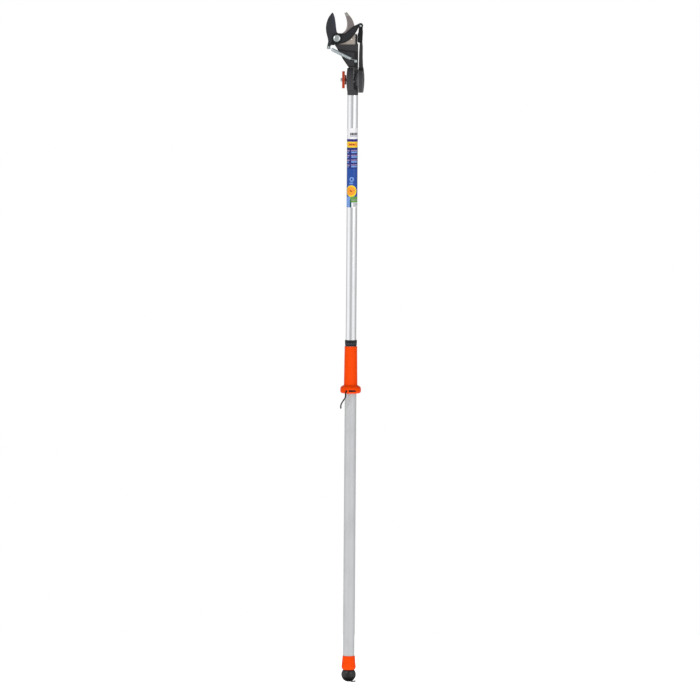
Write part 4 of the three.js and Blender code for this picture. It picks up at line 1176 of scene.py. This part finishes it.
def strap_block():
    left, right, shoulder, bottom, half = -10.2, 8.2, -13, -58, 8
    eye = rod_y(PIN[0], PIN[1], 7.6, -4.6, 4.6)
    stem = slab([(-7, -16), (7.4, -16), (7.6, 0), (-5.6, 0)], -4.6, 4.6, PIN, rim=0.3)
    body = plate("strap_block_body", rounded([
        (left + 3.6, shoulder), (right - 2, shoulder), (right, shoulder - 4), (right - 0.9, -42),
        (right - 2.4, bottom), (left + 3, bottom), (left, bottom + 3), (left, -28),
        (left + 2.4, -25),
    ], 1.4), -half, half, rim=0.9, at=PIN)
    roof = ROLLER_HEIGHT + 7.6
    cavity = box("tool", 22.0, 32.7, -half + 1.3, half - 1.3, PIN[1] + bottom - 5, roof)
    grooves = []
    for z in (-22, -25.4, -28.8):
        corners = [(left + 4, z - 0.6), (right - 2.6, z - 0.6), (right - 2.6, z + 0.6), (left + 4, z + 0.6)]
        grooves += [slab(rounded(corners, 0.5), y0, y1, PIN) for y0, y1 in ((-9, -7.5), (7.5, 9))]
    axle_bore = bore(1.9, PIN[0] + left + 3, PIN[0] + right + 5, "X", ROLLER_AT)
    block = cut(join(body, stem, eye), cavity, rod_y(*PIN, 3.8, -20, 20), axle_bore, *grooves)
    piece(block, "block", LEVER_COAT, "strap_block")
    axle_rod = rod(1.6, PIN[0] + left + 3.4, PIN[0] + right - 0.2)
    axle = lathe("block_axle", axle_rod, "X", ROLLER_AT, 32, 0.3)
    piece(axle, "block", ZINC, "roller_axle")
    wheel = [
        (1.95, 24.4), (4.4, 24.4, 0.3), (4.4, 25.1), (4.1, 25.7, 0.5),
        (4.1, 30.4, 0.5), (4.4, 31), (4.4, 31.7, 0.3), (1.95, 31.7),
    ]
    piece(lathe("block_wheel", wheel, "X", ROLLER_AT, 56, 0.2), "block_roller", ZINC, "block_roller")


def ease(start, stop, height):
    """0 above start, 1 below stop, and a straight line between."""
    return min(max((start - height) / (start - stop), 0), 1)


def pull_strap():
    bend, foot = 5.6, 2101
    turns = [math.pi * i / 18 for i in range(19)]
    over = [(STRAP_MIDDLE, bend * -math.cos(t), ROLLER_HEIGHT + bend * math.sin(t)) for t in turns]
    path = [(STRAP_MIDDLE, -bend, foot), *over, (STRAP_MIDDLE, bend, foot)]
    strap = webbing("pull_webbing", path)
    # How far each edge moves sideways, and the heights between which it does.
    left = (-1.6, 2206, 2197), (-1.6, 2194, 2168), (-1.0, 2168, 2125), (0.9, 2120, 2110)
    right = (1.5, 2200, 2184), (1.4, 2146, 2112)
    for vertex in strap.data.vertices:
        offset = vertex.co.x - STRAP_MIDDLE
        edge = left if offset < 0 else right
        shift = sum(size * ease(start, stop, vertex.co.z) for size, start, stop in edge)
        vertex.co.x += shift * abs(offset) / (STRAP_WIDTH / 2)
    piece(strap, "head", WEB, "pull_strap", sharp=60)
    strap.modifiers.clear()
    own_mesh(strap)


def return_spring():
    y, wire, coil_radius, eye_radius = -15.2, 1.0, 5.2, 4.3
    start = Vector((ANCHOR[0], y, ANCHOR[1]))
    reach = Vector((PIVOT[0] + TAIL[0] - ANCHOR[0], 0, PIVOT[1] + TAIL[1] - ANCHOR[1]))
    lean = math.atan2(reach.x, reach.z) - math.radians(0.55)
    along = Vector((math.sin(lean), 0, math.cos(lean)))
    side = Vector((math.cos(lean), 0, -math.sin(lean)))
    out = Vector((0, 1, 0))
    length = reach.length + 1

    def point(across, height, deep=0.0):
        return start + side * across + along * height + out * deep

    turns, first, last = 30, 17.6, 91.0
    steps = 20 * turns
    helix = []
    for i in range(steps + 1):
        turn = 2 * math.pi * turns * i / steps
        height = first + (last - first) * i / steps
        helix.append(point(coil_radius * math.cos(turn), height, coil_radius * math.sin(turn)))
    coil = tube("return_spring_coil", helix, wire, 10)
    piece(coil, "spring_base", SPRING_ZINC, "spring_coil", sharp=60)
    coil.modifiers.clear()
    coil.parent = None
    del coil["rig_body"]
    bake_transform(coil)

    def hook(name, centre, end, way, body, node):
        points = []
        for turn in range(150, -151, -15):
            angle = math.radians(turn + (0 if way > 0 else 180))
            points.append(point(eye_radius * math.sin(angle), centre + eye_radius * math.cos(angle)))
        leaving = point(eye_radius * math.sin(angle) * 0.3, centre + (end - centre) * 0.55)
        points += [leaving, point(0, centre + (end - centre) * 0.75), point(0, end)]
        made = tube(name, spline(points, 4), wire, 12)
        piece(made, body, SPRING_ZINC, node, sharp=60)
    hook("return_spring_lower_hook", 0, 16.8, -1, "spring_base", "spring_lower_hook")
    hook("return_spring_upper_hook", length, 91.8, 1, "spring_eye", "spring_upper_hook")


lower_pole()
lock_collar()
pull_handle()
upper_pole()
clamp_knob()
head_shells()
head_hardware()
counter_blade()
blade_steel()
levers()
pivot_hardware()
strap_block()
pull_strap()
return_spring()


# ---------- stage and light ----------
def build_floor():
    size, height = 3.0, -HOLD * 0.001 - 0.2
    mesh = bpy.data.meshes.new("floor")
    corners = [(-size, -size, height), (size, -size, height), (size, size, height), (-size, size, height)]
    mesh.from_pydata(corners, [], [(0, 1, 2, 3)])
    floor = bpy.data.objects.new("floor", mesh)
    scene.collection.objects.link(floor)
    material = bpy.data.materials.new("floor_white")
    material.use_nodes = True
    shader = material.node_tree.nodes["Principled BSDF"]
    shader.inputs["Base Color"].default_value = (0.8, 0.8, 0.8, 1)
    shader.inputs["Roughness"].default_value = 0.9
    shader.inputs["Emission Color"].default_value = (1, 1, 1, 1)
    shader.inputs["Emission Strength"].default_value = 1.0
    mesh.materials.append(material)
    floor.visible_glossy = False


def build_world():
    """White to the eye, a soft front-weighted dome for matt surfaces, two broad softboxes for glossy ones."""
    world = bpy.data.worlds.new("studio")
    scene.world = world
    world.use_nodes = True
    tree = world.node_tree
    tree.nodes.clear()

    def node(kind, **settings):
        made = tree.nodes.new("ShaderNode" + kind)
        for key, value in settings.items():
            setattr(made, key, value)
        return made

    def math_node(operation, first, second=None):
        made = node("Math", operation=operation)
        for socket, value in zip(made.inputs, (first, second)):
            if isinstance(value, (int, float)):
                socket.default_value = value
            elif value is not None:
                tree.links.new(value, socket)
        return made.outputs[0]

    way = node("SeparateXYZ")
    tree.links.new(node("TexCoord").outputs["Generated"], way.inputs[0])
    x, y, z = way.outputs
    turn = math_node("ARCTAN2", x, math_node("MULTIPLY", y, -1.0))
    share = math_node("ADD", math_node("DIVIDE", turn, 2 * math.pi), 0.5)
    bands = node("ValToRGB")
    stops = [
        (-180, 0.4), (-140, 0.5), (-106, 0.72), (-85, 0.94),
        (-60, 0.94), (-45, 0.82), (-27, 0.56), (-5, 0.42),
        (12, 0.6), (30, 0.86), (64, 0.86), (92, 0.62), (131, 0.36), (180, 0.4),
    ]
    ramp = bands.color_ramp
    while len(ramp.elements) < len(stops):
        ramp.elements.new(0.5)
    for element, (degrees, value) in zip(ramp.elements, stops):
        element.position = (degrees + 180) / 360
        element.color = (value, value, value * 1.005, 1)
    tree.links.new(share, bands.inputs[0])
    high = node("MapRange")
    for socket, value in zip(MAP_RANGE, (0.35, 0.8, 1.25, 0.7)):
        high.inputs[socket].default_value = value
    tree.links.new(z, high.inputs["Value"])
    glossy = node("Background")
    tree.links.new(bands.outputs[0], glossy.inputs[0])
    tree.links.new(high.outputs[0], glossy.inputs[1])
    facing = math_node("POWER", math_node("ABSOLUTE", y), 4.0)
    dome = math_node("ADD", math_node("MULTIPLY", facing, 1.9), 0.32)
    matt = node("Background")
    tree.links.new(dome, matt.inputs[1])
    white = node("Background")
    white.inputs[0].default_value = (1, 1, 1, 1)
    rays = node("LightPath")
    lit = node("MixShader")
    tree.links.new(rays.outputs["Is Glossy Ray"], lit.inputs[0])
    tree.links.new(matt.outputs[0], lit.inputs[1])
    tree.links.new(glossy.outputs[0], lit.inputs[2])
    seen = node("MixShader")
    tree.links.new(rays.outputs["Is Camera Ray"], seen.inputs[0])
    tree.links.new(lit.outputs[0], seen.inputs[1])
    tree.links.new(white.outputs[0], seen.inputs[2])
    tree.links.new(seen.outputs[0], node("OutputWorld").inputs[0])


def build_lights():
    size = 1.8
    for name, place, power in (("key", (-2.6, -3.2, 2.6), 26), ("fill", (2.8, -3.0, 1.6), 12)):
        data = bpy.data.lights.new(name, "AREA")
        data.energy = power
        data.size = size
        light = bpy.data.objects.new(name, data)
        light.location = place
        light.rotation_euler = (Vector((0, 0, 0.6)) - Vector(place)).to_track_quat("-Z", "Y").to_euler()
        scene.collection.objects.link(light)


build_floor()
build_world()
build_lights()
scene.view_settings.view_transform = "Standard"
scene.view_settings.look = "None"
